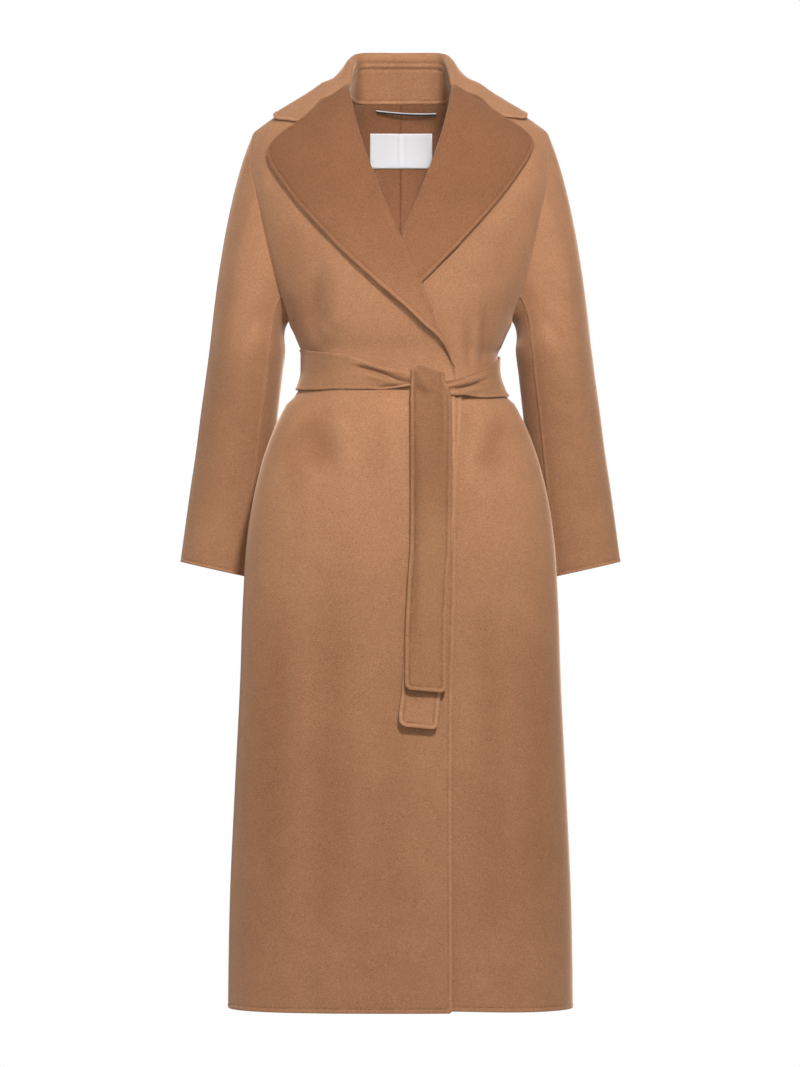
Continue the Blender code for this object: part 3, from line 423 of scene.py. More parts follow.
# The dip along a seam is also painted darker, as painted shade.
SEAM_DIP, SEAM_PAINTED_SHADE = (0.0012, 0.0007), 0.42  # reach and depth of the dip along a seam, and its deeper nap
FELL = (0.0026, 0.0013, 0.00115)  # a felled seam stands up beside its line: how far, reach, height
MESH_STEP = 0.0055  # spacing of the mesh away from the edges
SQUEEZED = 0.7  # most of a short stretch that the close steps of its two edges take
NEAREST = 0.45  # least share of its way along the cloth that a point lies off an edge
EDGE_LOOK, BEAD_STEP = 0.012, 0.0006  # how far from an edge its distance counts, and how fine it is taken
CREASE_FADE, CREASE_POINTS = 0.35, 25  # share over which a crease fades out at its ends, and points along it
FINE = 8  # steps in which a line is followed between two shaping points


def lengths(points, axis):
    """Distance along an axis of a grid, or along a single line, from its start."""
    steps = np.linalg.norm(np.diff(points, axis=axis), axis=-1)
    start = np.zeros_like(np.take(steps, [0], axis=axis))
    return np.concatenate((start, np.cumsum(steps, axis=axis)), axis=axis)


def along_line(line, reach, places):
    """Points at places along a line whose own points lie at a reach each."""
    return np.stack([np.interp(places, reach, line[:, axis]) for axis in range(3)], axis=1)


def between(length, first, count, last):
    """Places along a stretch: the steps of one edge, even steps, and the steps of the other edge."""
    first, last = np.array(EDGE_STEPS[first]), np.array(EDGE_STEPS[last])
    squeeze = min(1.0, SQUEEZED * length / max(first[-1] + last[-1], TINY))
    first, last = first * squeeze, length - last[::-1] * squeeze
    return np.concatenate((first, np.linspace(first[-1], last[0], count + 1)[1:-1], last))


def fine_rows(knots, seams, first, last):
    """Places of the mesh's rows: every knot, even steps between, and close steps at edges and seams."""
    rows = []
    for index, (low, high) in enumerate(zip(knots[:-1], knots[1:])):
        start = first if index == 0 else SEWN if index in seams else PLAIN
        end = last if index == len(knots) - 2 else SEWN if index + 1 in seams else PLAIN
        edges = EDGE_STEPS[start][-1] + EDGE_STEPS[end][-1]
        count = max(int(np.ceil((high - low - edges) / MESH_STEP)), 1)
        rows.append(low + between(high - low, start, count, end)[:-1])
    return np.concatenate(rows + [knots[-1:]])


def smooth(lines, knots, places, axis):
    """The grid along smooth curves through its shaping points."""
    lines = np.moveaxis(lines, axis, 0)
    return np.moveaxis(curve(knots, lines, tangents(knots, lines), places), 0, axis)


def finer(knots, places_between=FINE):
    steps = np.arange(len(knots) * places_between - places_between + 1) / places_between
    return np.interp(steps, np.arange(len(knots)), knots)


def mean_knots(lines, axis):
    return lengths(lines, axis).mean(axis=1 - axis)


def respace(rows, marks, patterns):
    """Lays the points of each row out anew: a pattern for each stretch between two marks."""
    laid = []
    for row, reach, row_marks in zip(rows, lengths(rows, 1), marks):
        places = [np.zeros(1)]
        for start, end, pattern in zip(row_marks[:-1], row_marks[1:], patterns):
            places.append(start + between(end - start, *pattern)[1:])
        laid.append(along_line(row, reach, np.concatenate(places)))
    return np.array(laid)


def border_view(points, border):
    """The grid seen from one border: [i, 0] is the border's own point i."""
    turned = np.swapaxes(points, 0, 1)
    return {"left": points, "right": points[:, ::-1], "bottom": turned, "top": turned[:, ::-1]}[border]


def grid_normals(points, outward):
    """Directions out of a grid towards its outer side, and whether its own order points the other way."""
    along = np.gradient(points, axis=0)
    across = np.gradient(points, axis=1)
    normals = unit(np.cross(across, along))
    rows, columns = points.shape[:2]
    turned = bool(np.dot(normals[rows // 2, columns // 2], outward) < 0.0)
    return (-normals if turned else normals), turned


def edge_distance(points, borders, wanted):
    """How far each point lies from the edges of one kind, measured straight and along the cloth."""
    distance = np.full(points.shape[:2], np.inf)
    for border, stretches in borders.items():
        stretches = ((stretches, 0, None),) if isinstance(stretches, str) else stretches
        view = border_view(points, border)
        result = border_view(distance[..., None], border)[..., 0]
        edge = view[:, 0]
        along = lengths(edge, 0)
        into = lengths(view, 1)
        for kind, first, last in stretches:
            if kind != wanted:
                continue
            last = len(edge) - 1 if last is None else last
            beside = np.maximum(np.maximum(along[first] - along, along - along[last]), 0.0)
            way = NEAREST * (into + beside[:, None])
            places = np.arange(0.0, along[last] - along[first] + BEAD_STEP, BEAD_STEP) + along[first]
            tree = kdtree.KDTree(len(places))
            for index, bead in enumerate(along_line(edge, along, places)):
                tree.insert(bead, index)
            tree.balance()
            for place in zip(*np.nonzero(way < EDGE_LOOK)):
                on_it = place[1] == 0 and first <= place[0] <= last
                straight = 0.0 if on_it else tree.find(view[place])[2]
                near = max(straight, way[place] if straight > 0.0 else 0.0)
                if near < result[place]:
                    result[place] = near
    return distance


def line_distance(places, line):
    """Distance of places on a map from a line on it, and how far along the line they lie."""
    line = np.reshape(line, (-1, 2))
    knots = lengths(line, 0)
    if len(line) > 2:
        line = curve(knots, line, tangents(knots, line), np.linspace(0.0, knots[-1], CREASE_POINTS))
    nearest = np.full(places.shape[:-1], np.inf)
    along = np.zeros(places.shape[:-1])
    for index, (start, end) in enumerate(zip(line[:-1], line[1:])):
        span = end - start
        share = np.clip(((places - start) @ span) / (span @ span), 0.0, 1.0)
        away = np.linalg.norm(places - start - share[..., None] * span, axis=-1)
        closer = away < nearest
        nearest = np.where(closer, away, nearest)
        along = np.where(closer, (index + share) / (len(line) - 1), along)
    return nearest, along


def crease(points, outward, places, creases, share=1.0):
    """Presses soft troughs and ridges into a grid, and gives the painted shade of its troughs and the painted
    highlight of its ridges.

    Each is the points of a line on the map, two values for each, then a width and a height.
    """
    normals = grid_normals(points, outward)[0]
    height = np.zeros(points.shape[:2])
    for *line, width, rise in creases:
        away, along = line_distance(places, line)
        ends = ease(0.0, CREASE_FADE, along) * ease(0.0, CREASE_FADE, 1.0 - along)
        height += rise * np.exp(-((away / width) ** 2)) * ends
    points += normals * height[..., None]
    # Painted shade in the troughs and painted highlight on the ridges, in proportion to their height.
    return np.clip(height * CREASE_PAINTED_SHADE * share, -DEEPEST_PAINTED_SHADE, PALEST_PAINTED_HIGHLIGHT)


def cloth(name, points, outward, borders, material, thickness=CLOTH, inside=None, nap=0.0):
    """A panel of cloth from the grid of its middle: two faces, and a rim along its four borders."""
    normals, turned = grid_normals(points, outward)
    hems = {kind: edge_distance(points, borders, kind) for kind in FINISH}
    free = np.minimum.reduce(list(hems.values()))
    edge = np.sqrt(np.maximum(1.0 - (1.0 - np.minimum(free / EDGE_ROUND, 1.0)) ** 2, 0.0))
    half = thickness / 2.0 * (EDGE_LEAST + (1.0 - EDGE_LEAST) * edge)
    # This value holds wear and painted light: bands paler (wear and painted highlight), grooves and seam dips
    # darker (painted shade), felled ridges paler (painted highlight), plus the creases' painted shade and
    # highlight passed in as nap.
    worn_and_painted = np.full(points.shape[:2], UNTONED)
    by_hand = 1.0 + sum(share * np.sin(points[..., 0] * a + points[..., 2] * b) for a, b, share in UNEVEN)
    if thickness == CLOTH:
        for kind, (place, depth, rise) in FINISH.items():
            groove = np.exp(-(((hems[kind] - place) / GROOVE_REACH) ** 2))
            band = np.exp(-(((hems[kind] - place * BAND_PLACE) / BAND_REACH) ** 2))
            half = half + rise * band * edge - depth * groove * by_hand
            worn_and_painted += EDGE_WEAR_AND_PAINTED_LIGHT * min(rise / FULL_EDGE_TONE_RISE, 1.0) * (band - groove * by_hand)
        dip = np.exp(-((edge_distance(points, borders, SEWN) / SEAM_DIP[0]) ** 2))
        fell = np.exp(-(((edge_distance(points, borders, FELLED) - FELL[0]) / FELL[1]) ** 2))
        half = half - SEAM_DIP[1] * dip
        half = half + FELL[2] * fell
        worn_and_painted -= SEAM_PAINTED_SHADE * dip
        worn_and_painted += FELL_PAINTED_HIGHLIGHT * EDGE_WEAR_AND_PAINTED_LIGHT * fell * by_hand + nap
    rows, columns = points.shape[:2]
    count = rows * columns
    places = np.arange(count).reshape(rows, columns)
    rim = np.concatenate((places[0, :-1], places[:-1, -1], places[-1, :0:-1], places[:0:-1, 0]))
    shift = normals * half[..., None]
    layers = (points + shift, points - shift, points.reshape(-1, 3)[rim])
    vertices = np.vstack([layer.reshape(-1, 3) for layer in layers])
    corners = (places[:-1, :-1], places[:-1, 1:], places[1:, 1:], places[1:, :-1])
    quads = np.stack(corners, axis=-1).reshape(-1, 4)
    middle = 2 * count + np.arange(len(rim))
    ahead, middle_ahead = np.roll(rim, -1), np.roll(middle, -1)
    faces = np.vstack(
        (
            quads,
            quads[:, ::-1] + count,
            np.stack((ahead, rim, middle, middle_ahead), axis=-1),
            np.stack((middle_ahead, middle, rim + count, ahead + count), axis=-1),
        )
    )
    if turned:
        faces = faces[:, ::-1]
    mesh = bpy.data.meshes.new(name)
    mesh.from_pydata(vertices.tolist(), [], faces.tolist())
    mesh.shade_smooth()
    mesh.materials.append(material)
    if inside is not None:
        mesh.materials.append(inside)
        sides = np.zeros(len(faces), dtype=np.int32)
        sides[len(quads) : 2 * len(quads)] = 1
        mesh.polygons.foreach_set("material_index", sides)
    worn_and_painted = np.clip(worn_and_painted.ravel(), 0.0, 1.0)
    # Stored as an attribute that the wool turns into the wear, painted shade and painted highlight.
    wear_and_painted_light = mesh.attributes.new("wear_and_painted_light", "FLOAT", "POINT")
    wear_and_painted_light.data.foreach_set("value", np.concatenate((worn_and_painted, worn_and_painted, np.full(len(rim), RIM_WEAR_AND_HIGHLIGHT))))
    piece = bpy.data.objects.new(name, mesh)
    scene.collection.objects.link(piece)
    return piece


def toned(tree, value, *stops):
    """A colour for each value: stops are places on the ramp with the colour there."""
    ramp = node(tree, "ValToRGB", {"Fac": value})
    (low, dark), *inner, (high, light) = stops
    dark_end, light_end = ramp.color_ramp.elements
    dark_end.position, light_end.position = low, high
    dark_end.color, light_end.color = (*dark, 1.0), (*light, 1.0)
    for place, colour in inner:
        ramp.color_ramp.elements.new(place).color = (*colour, 1.0)
    return ramp.outputs["Color"]


def raised(tree, height, strength, distance):
    """Lets a value stand up from the surface as a fine relief."""
    relief = {"Height": height, "Strength": strength, "Distance": distance}
    return node(tree, "Bump", relief).outputs["Normal"]


# Camel double-face wool: a short brushed nap over a fine weave, a little mottled, with a pale bloom where the
# nap is seen edge-on. The lapels' turned faces and the inside are the same cloth, painted a shade deeper as
# painted shade.
WOOL_SURFACE = {
    "Roughness": 0.88,
    "Specular IOR Level": 0.18,
    "Sheen Weight": 0.52,
    "Sheen Roughness": 0.4,
    "Sheen Tint": (1.0, 0.7, 0.51, 1.0),
}
# Nap, single fibres, mottling and broad patches: how close they lie, detail, how they are stretched, the
# range of values that counts, the dark tone and the light one.
WOOL_LAYERS = (
    (640.0, 5.0, (0.8, 0.8, 1.1), 0.32, 0.68, (0.75, 0.73, 0.71), 1.19),
    (1300.0, 3.0, (0.4, 0.4, 1.0), 0.32, 0.68, (0.88, 0.87, 0.86), 1.09),
    (30.0, 3.0, (1.0, 1.0, 1.0), 0.3, 0.7, (0.955, 0.945, 0.94), 1.035),
    (5.0, 2.0, (1.0, 1.0, 1.0), 0.35, 0.65, (0.96, 0.95, 0.94), 1.025),
)
LAYER_ROUGHNESS = 0.62
# Tones for the painted edges and creases: the dark one is painted shade, the pale one is wear and painted
# highlight.
EVEN, PAINTED_SHADE_TONE, WEAR_AND_HIGHLIGHT_TONE = (1.0, 1.0, 1.0), (0.7, 0.62, 0.57), (1.26, 1.29, 1.32)  # tones of the nap
FIBRE_SHARE, WOOL_RELIEF = 0.5, (0.35, 0.0006)  # the fibres' part of the relief; its strength and height


def wool(name, colour, upper=None):
    """The wool in a colour; upper says where, from one height to another, it takes on a tint: painted shade,
    darker towards the top.
    """
    material, tree, shader = surface(name, WOOL_SURFACE)
    place = node(tree, "TexCoord").outputs["Object"]

    def multiplied(paint, tone):
        inputs = {"Factor": 1.0, "A": paint, "B": tone}
        mix = node(tree, "Mix", inputs, data_type="RGBA", blend_type="MULTIPLY", clamp_result=True)
        return mix.outputs["Result"]

    paint, layers = (*colour, 1.0), []
    for scale, detail, stretch, low, high, dark, light in WOOL_LAYERS:
        spread = node(tree, "Mapping", {"Vector": place, "Scale": stretch}).outputs["Vector"]
        inputs = {"Vector": spread, "Scale": scale, "Detail": detail, "Roughness": LAYER_ROUGHNESS}
        layers.append(node(tree, "TexNoise", inputs).outputs["Fac"])
        paint = multiplied(paint, toned(tree, layers[-1], (low, dark), (high, (light, light, light))))
    # The attribute's painted shade, painted highlight and wear become tones here.
    worn_and_painted = node(tree, "Attribute", attribute_name="wear_and_painted_light").outputs["Fac"]
    paint = multiplied(paint, toned(tree, worn_and_painted, (0.0, PAINTED_SHADE_TONE), (UNTONED, EVEN), (1.0, WEAR_AND_HIGHLIGHT_TONE)))
    # Painted shade: the colour darkens towards the higher of the two heights.
    if upper is not None:
        low, high, tint = upper
        height = node(tree, "SeparateXYZ", {"Vector": place}).outputs["Z"]
        rise = node(tree, "MapRange", {"Value": height, "From Min": low, "From Max": high})
        paint = multiplied(paint, toned(tree, rise.outputs["Result"], (0.0, EVEN), (1.0, tint)))
    nap, fibres = layers[:2]
    pile = node(tree, "Math", {0: fibres, 1: FIBRE_SHARE, 2: nap}, operation="MULTIPLY_ADD")
    relief = raised(tree, pile.outputs["Value"], *WOOL_RELIEF)
    fill(shader, {"Base Color": paint, "Normal": relief})
    return material


CAMEL = (0.322, 0.159, 0.081)
# The inside's colour: the same camel, painted darker as painted shade.
CAMEL_IN_PAINTED_SHADE = (0.25, 0.108, 0.052)  # the cloth's other face
CAMEL_WOOL, INNER_WOOL_PAINTED_SHADE = wool("camel_wool", CAMEL), wool("camel_wool_inside_painted_shade", CAMEL_IN_PAINTED_SHADE)

MESH_ROWS = fine_rows(ROW_KNOTS, (SEAM_ROW,), FREE, SEWN)
BODY_PATTERN = (SEWN, 46, PLAIN)
NECK_PATTERN = (FREE, 34, SEWN)

# Soft troughs and ridges on the back: x and height of each point of the line in turn, width and height. The
# cloth gathers a little under the belt and falls in long shallow folds from the hips.
BACK_CREASES = (
    (0.03, -0.405, 0.034, -0.47, 0.04, -0.56, 0.01, -0.003),
    (0.062, -0.402, 0.07, -0.46, 0.082, -0.53, 0.009, 0.0022),
    (0.088, -0.404, 0.1, -0.48, 0.112, -0.62, 0.012, -0.0032),
    (0.05, -0.62, 0.058, -0.85, 0.064, -1.24, 0.024, -0.0035),
    (0.125, -0.6, 0.14, -0.86, 0.15, -1.25, 0.028, -0.003),
    (0.096, -0.66, 0.104, -0.9, 0.108, -1.2, 0.022, 0.0026),
    (0.022, -0.325, 0.024, -0.28, 0.034, -0.22, 0.009, -0.0022),
    (0.058, -0.328, 0.066, -0.29, 0.074, -0.25, 0.008, 0.0016),
    (0.098, -0.33, 0.11, -0.27, 0.128, -0.2, 0.012, -0.0026),
    (0.06, -0.06, 0.09, -0.1, 0.13, -0.12, 0.016, -0.0014),
)

# The belt draws the cloth in at the sides and behind: how deep, and the heights over which that fades in and
# out again. Towards the knot the belt lies looser.
CINCH, CINCH_HEIGHTS, CINCH_SIDES = 0.0032, ((-0.411, -0.399), (-0.328, -0.34)), (0.088, 0.126)
# The back's creases get painted shade and painted highlight at this strength.
BACK_PAINTED_SHADE = 0.8  # how strongly the nap shades in the back's creases


def draw_in(points, outward, everywhere):
    """Draws a panel in under the belt, all along it or at the side alone."""
    lower, upper = CINCH_HEIGHTS
    depth = CINCH * ease(*lower, points[..., 2]) * ease(*upper, points[..., 2])
    if not everywhere:
        depth = depth * ease(*CINCH_SIDES, np.abs(points[..., 0]))
    points -= grid_normals(points, outward)[0] * depth[..., None]


lines = back_lines()
knots = mean_knots(lines, 1)
half = smooth(smooth(lines, ROW_KNOTS, MESH_ROWS, 0), knots, finer(knots), 1)
marks = lengths(half, 1)[:, (0, FINE * SIDE_COLUMNS, -1)]
half = respace(half, marks, (BODY_PATTERN, NECK_PATTERN))
half[:, -1, 0] = 0.0
# nap here is painted shade in the creases' troughs and painted highlight on their ridges.
nap = crease(half, BACKWARD, np.abs(half[..., (0, 2)]), BACK_CREASES, BACK_PAINTED_SHADE)
draw_in(half, BACKWARD, True)
half[:, -1, 0] = 0.0
backs = {RIGHT: half, LEFT: mirrored(half)}
for side, name in ((RIGHT, "back_right"), (LEFT, "back_left")):
    edges = {"bottom": FREE, "left": SEWN, "right": SEWN, "top": SEWN}
    back = cloth(name + "_panel", backs[side], BACKWARD, edges, CAMEL_WOOL, inside=INNER_WOOL_PAINTED_SHADE, nap=nap)
    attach(back, "root")
    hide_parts(name)

# ---------------- the two fronts
# Each front is one panel with its lapel grown on, and the lapel turns over along a soft roll line. The right
# front laps over the left one. The front edges and the lapels are turned in and slip-stitched by hand.

# Roll line and front edge: height, distance past the middle of the folded or raw edge.
FRONT_EDGE = table(
    (HEM, 0.0715), (-0.86, 0.0709), (-0.682, 0.0751), (-0.523, 0.0779), (-0.404, 0.0836), (-0.37, 0.0785),
    (-0.337, 0.069), (-0.295, 0.052), (-0.241, 0.0283), (-0.212, 0.014), (-0.179, -0.0007),
    (-0.131, -0.0214), (-0.092, -0.0366), (-0.046, -0.0533), (0.0035, -0.0661), (0.03, -0.071),
)
# The strip that turns over below the lapel: height, width on the right front and on the left one.
EDGE_STRIP = table(
    (-0.372, 0.007, 0.007), (-0.35, 0.008, 0.007), (-0.335, 0.0092, 0.007), (-0.315, 0.0128, 0.007),
    (-0.3, 0.016, 0.007),
)
LAPEL_START = {RIGHT: -0.3, LEFT: -0.262}  # above this height the turned edge is a lapel
# Lapels: height on the roll line, distance from the middle and height of the outer edge, and how much higher
# the left lapel's edge lies.
LAPEL = table(
    (-0.2953, 0.033, -0.3, 0.0),
    (-0.2412, -0.001, -0.268, 0.0),
    (-0.2122, -0.0311, -0.244, 0.002),
    (-0.179, -0.065, -0.212, 0.006),
    (-0.1307, -0.1, -0.177, 0.009),
    (-0.0915, -0.129, -0.146, 0.011),
    (-0.0463, -0.154, -0.116, 0.013),
    (0.0035, -0.178, -0.08, 0.014),
    (0.03, -0.185, -0.06, 0.012),
)
# Top edge of the lapel: share of the width, distance from the middle, height.
LAPEL_TOP = table(
    (0.0, -0.076, 0.03),
    (0.13, -0.09, 0.0205),
    (0.28, -0.107, 0.011),
    (0.43, -0.125, -0.0055),
    (0.58, -0.1421, -0.0185),
    (0.7, -0.1567, -0.0285),
    (0.85, -0.1735, -0.0425),
    (1.0, -0.186, -0.06),
)
# The lapel's edge springs off the coat: height, how far.
LAPEL_SPRING = table(
    (-0.35, 0.002), (-0.32, 0.0062), (-0.25, 0.0048), (-0.18, 0.0022), (-0.11, 0.0012), (0.0, 0.0003),
)
COVERED = (-0.235, -0.195)  # the left lapel's edge lies close below these heights, under the right front
NOTCH = 4  # the gorge seam ends at this point of the table above
TOP_PULL = 6.0  # how soon the lapel's rows take up the shape of its top edge: higher is later
FLAT_SHARE = 0.6  # of the lapel's width, past which it lies as close as at its narrow end
TURN_COLUMNS = 6
LAPEL_COLUMNS = (0, TURN_COLUMNS // 2, TURN_COLUMNS, TURN_COLUMNS + NOTCH)  # where its mesh changes
FOLD_RADIUS = table((-0.37, 0.0022), (-0.16, 0.0024), (-0.05, 0.0028), (0.03, 0.0034))  # height, radius
NO_TURN = 0.001  # least angle, in radians, through which it is turned
# Degrees through which the front edge is turned over: height, right front, left front.
TURN = table(
    (-0.372, 0.0, 0.0), (-0.362, 40.0, 0.0), (-0.35, 95.0, 0.0), (-0.335, 145.0, 20.0),
    (-0.315, 162.0, 80.0), (-0.291, 164.0, 140.0), (-0.276, 180.0, 180.0),
)
# The right front lies over the left one: height, how far it is moved out.
OVER_LIFT = table(
    (HEM, 0.0042), (-0.345, 0.0046), (-0.335, 0.0053), (-0.325, 0.0064), (-0.315, 0.0078),
    (-0.295, 0.0088), (-0.17, 0.0088), (-0.13, 0.0035), (-0.092, 0.0),
)
OVERLAP_START = (-0.118, -0.084)  # distances from the middle between which the right front moves out
# How the mesh lies on the lapel: up to the middle of the fold, to its end, to the notch, and to the edge.
LAPEL_PATTERNS = ((SEWN, 8, PLAIN), (PLAIN, 16, PLAIN), (PLAIN, 12, PLAIN), (PLAIN, 7, FREE))
FOLD_STRETCH = (0.03, 0.024, 0.018, 0.0135)  # least widths that are left for them at the front edge
TIP_CORNER, HEM_CORNER = 0.011, 0.006  # radii of the lapel's tip and of the hem's front corner
FORWARD = (0.0, -1.0, 0.0)
NECK_FIRST = len(between(1.0, *BODY_PATTERN)) - 1  # the mesh's column at the neck point
NEAR = 0.002  # how far apart two points lie that give a direction
FIT_REACH = 0.05  # how far into a panel its shift onto a neighbour's edge fades out
UNDERARM_ROW = ROW_HEIGHTS.index(UNDERARM)
FIRST_ARMHOLE = int(np.argmin(abs(MESH_ROWS - ROW_KNOTS[UNDERARM_ROW])))  # the mesh's row at the underarm


def body_point(x, height, face):
    if height <= BUST_HEIGHT:
        return np.array((x, level_y(x, height, face), height))
    return rolled(x, roll_angle(x, height, face), face)


def off_body(x, height, face, distance):
    """A point that lies a distance outside the middle of the body's cloth."""
    across = body_point(x + NEAR, height, face) - body_point(x - NEAR, height, face)
    up = body_point(x, height + NEAR, face) - body_point(x, height - NEAR, face)
    return body_point(x, height, face) + unit(np.cross(up, across)) * face * distance


def round_corner(points, row_end, column_end, radius):
    """Rounds a corner of a panel."""
    rows = points if row_end == 0 else points[::-1]
    rows = rows if column_end == 0 else rows[:, ::-1]
    from_row, from_column = lengths(rows, 0), lengths(rows, 1)
    rise, side = unit(np.gradient(rows, axis=0)), unit(np.gradient(rows, axis=1))
    inside = np.stack((np.maximum(radius - from_row, 0.0), np.maximum(radius - from_column, 0.0)), axis=-1)
    reach = np.linalg.norm(inside, axis=-1)
    share = np.where(reach > 0.0, inside.max(axis=-1) / np.maximum(reach, TINY), 1.0)
    shift = inside * (1.0 - share[..., None])
    rows += rise * shift[..., :1] + side * shift[..., 1:]


def fit(points, border, target):
    """Moves the start of a border onto the edge that it is sewn to, and its surroundings with it."""
    view = border_view(points, border)[: len(target)]
    shift = target - view[:, 0]
    fade = 1.0 - ease(0.0, FIT_REACH, lengths(view, 1))
    view += shift[:, None] * fade[..., None]


def on_side(sizes, height, side):
    """A table's value at a height, for the right front or for the left one."""
    return read(sizes, height)[0 if side == RIGHT else 1]


def roll_x(height, side):
    """Where the ply leaves the body to turn over, or where its edge strip starts."""
    edge = read(FRONT_EDGE, height)[0]
    fold = read(FOLD_RADIUS, height)[0] + CLOTH / 2.0
    turned = np.radians(on_side(TURN, height, side)) / np.pi
    return edge - blend(on_side(EDGE_STRIP, height, side), fold, turned)


def over_lift(x, height):
    return read(OVER_LIFT, height)[0] * ease(*OVERLAP_START, x)


def front_lines(side):
    """A front's shaping points on the body, from the side seam to the roll line."""
    shares = np.linspace(0.0, 1.0, SIDE_COLUMNS + 1)
    rows = level_lines(FRONT, lambda height: angle_at(roll_x(height, side), height, FRONT), shares)
    bust_x = np.array([point[0] for point in rows[-1]])
    bust_shares = (bust_x - bust_x[0]) / (bust_x[-1] - bust_x[0])
    for angle in SHOULDER_ROWS:
        outer_x, inner_x = -SHOULDER_TIP, -NECK_POINT
        if angle < SHOULDER_ROWS[-1]:
            for _ in range(SETTLING):
                outer_x = -read(ARMHOLE, rolled(outer_x, angle, FRONT)[2])[0]
                inner_x = roll_x(rolled(inner_x, angle, FRONT)[2], side)
        row_shares = blend(bust_shares, shares, np.sin(angle))
        rows.append([rolled(blend(outer_x, inner_x, share), angle, FRONT) for share in row_shares])
    return np.array(rows)


def lapel_point(root, share, side, lift):
    """A point of the lapel's face, at a share of its width from the point where the row turns over."""
    edge_x, edge_z, rise = read(LAPEL, root[2])
    top_x, top_z = read(LAPEL_TOP, share)
    lowest, highest = LAPEL[0, 0], LAPEL[-1, 0]
    pull = min(max((root[2] - lowest) / (highest - lowest), 0.0), 1.0) ** TOP_PULL
    straight = blend(LAPEL_TOP[0, 1:], LAPEL_TOP[-1, 1:], share)
    x = blend(root[0], edge_x, share) + (top_x - straight[0]) * pull
    z = blend(root[2], edge_z, share) + (top_z - straight[1]) * pull
    if side == LEFT:
        z += rise * share
    extra = over_lift(x, z) if side == RIGHT else 0.0
    spring = read(LAPEL_SPRING, z)[0] * (1.0 if side == RIGHT else ease(*COVERED, z))
    extra = extra + spring * share**2
    return off_body(float(x), float(z), FRONT, lift + extra)


def turn_over(away, normal, radius, angle, straight):
    """The way along a fold: round through an angle, and straight on from there."""
    round_part = away * radius * np.sin(angle) + normal * radius * (1.0 - np.cos(angle))
    return round_part + (away * np.cos(angle) + normal * np.sin(angle)) * straight


def lapelled_lines(side):
    """All shaping points of a front, with its lapel turned over along the roll line."""
    body = front_lines(side)
    normals = grid_normals(body, FORWARD)[0]
    if side == RIGHT:
        for place in np.ndindex(body.shape[:2]):
            body[place] += normals[place] * over_lift(body[place][0], body[place][2])
    roll = body[:, -1]
    roll_direction = np.gradient(roll, axis=0)
    shares = LAPEL_TOP[1:, 0]
    steps = TURN_COLUMNS + len(shares)
    rows = []
    for row, root in enumerate(roll):
        normal = normals[row, -1]
        away = unit(np.cross(roll_direction[row], normal))
        if np.dot(away, root - body[row, -2]) < 0.0:
            away = -away
        radius = read(FOLD_RADIUS, root[2])[0]
        if root[2] > LAPEL_START[side]:
            angles = np.pi * np.arange(1, TURN_COLUMNS + 1) / TURN_COLUMNS
            turned = [root + turn_over(away, normal, radius, angle, 0.0) for angle in angles]
            narrow = FOLD_RADIUS[0, 1]
            lifts = [2.0 * blend(radius, narrow, ease(0.0, FLAT_SHARE, share)) for share in shares]
            turned += [lapel_point(root, share, side, lift) for share, lift in zip(shares, lifts)]
        else:
            whole = max(np.radians(on_side(TURN, root[2], side)), NO_TURN)
            turned = []
            for reach in on_side(EDGE_STRIP, root[2], side) * np.arange(1, steps + 1) / steps:
                angle = min(reach / radius, whole)
                turned.append(root + turn_over(away, normal, radius, angle, reach - angle * radius))
        rows.append(np.vstack((body[row], turned)))
    return np.array(rows)


# Soft troughs and ridges on a front, as on the back. Below the belt the cloth is gathered and then falls
# almost smooth; above it two faint folds run up from the knot.
FRONT_CREASES = {
    RIGHT: (
        (-0.142, -0.418, -0.122, -0.452, -0.104, -0.515, 0.024, -0.0046),
        (-0.098, -0.412, -0.08, -0.455, -0.066, -0.52, 0.012, 0.0022),
        (-0.16, -0.44, -0.15, -0.485, -0.142, -0.56, 0.016, -0.0022),
        (-0.04, -0.412, -0.03, -0.46, -0.034, -0.54, 0.014, -0.0016),
        (-0.085, -0.56, -0.092, -0.8, -0.1, -1.22, 0.032, -0.0028),
        (-0.165, -0.6, -0.178, -0.86, -0.185, -1.22, 0.03, -0.0032),
        (-0.02, -0.7, -0.016, -0.95, -0.02, -1.24, 0.03, -0.0016),
        (-0.118, -0.32, -0.116, -0.28, -0.122, -0.22, 0.013, -0.0026),
        (-0.096, -0.325, -0.086, -0.285, -0.084, -0.24, 0.01, 0.0014),
        (-0.154, -0.15, -0.146, -0.2, -0.142, -0.25, 0.016, -0.002),
    ),
    LEFT: (
        (-0.148, -0.42, -0.134, -0.455, -0.12, -0.52, 0.022, -0.0044),
        (-0.118, -0.42, -0.1, -0.47, -0.092, -0.54, 0.011, 0.002),
        (-0.086, -0.412, -0.092, -0.44, -0.102, -0.48, 0.012, -0.002),
        (-0.12, -0.58, -0.126, -0.82, -0.132, -1.2, 0.03, -0.0026),
        (-0.178, -0.62, -0.19, -0.9, -0.196, -1.22, 0.028, -0.0026),
        (-0.113, -0.372, -0.114, -0.33, -0.119, -0.262, 0.0055, -0.003),
        (-0.104, -0.374, -0.103, -0.33, -0.105, -0.27, 0.005, 0.002),
        (-0.094, -0.376, -0.093, -0.335, -0.09, -0.285, 0.005, -0.0026),
        (-0.083, -0.378, -0.08, -0.34, -0.074, -0.3, 0.0055, 0.0018),
        (-0.15, -0.15, -0.143, -0.2, -0.139, -0.25, 0.016, -0.0018),
    ),
}
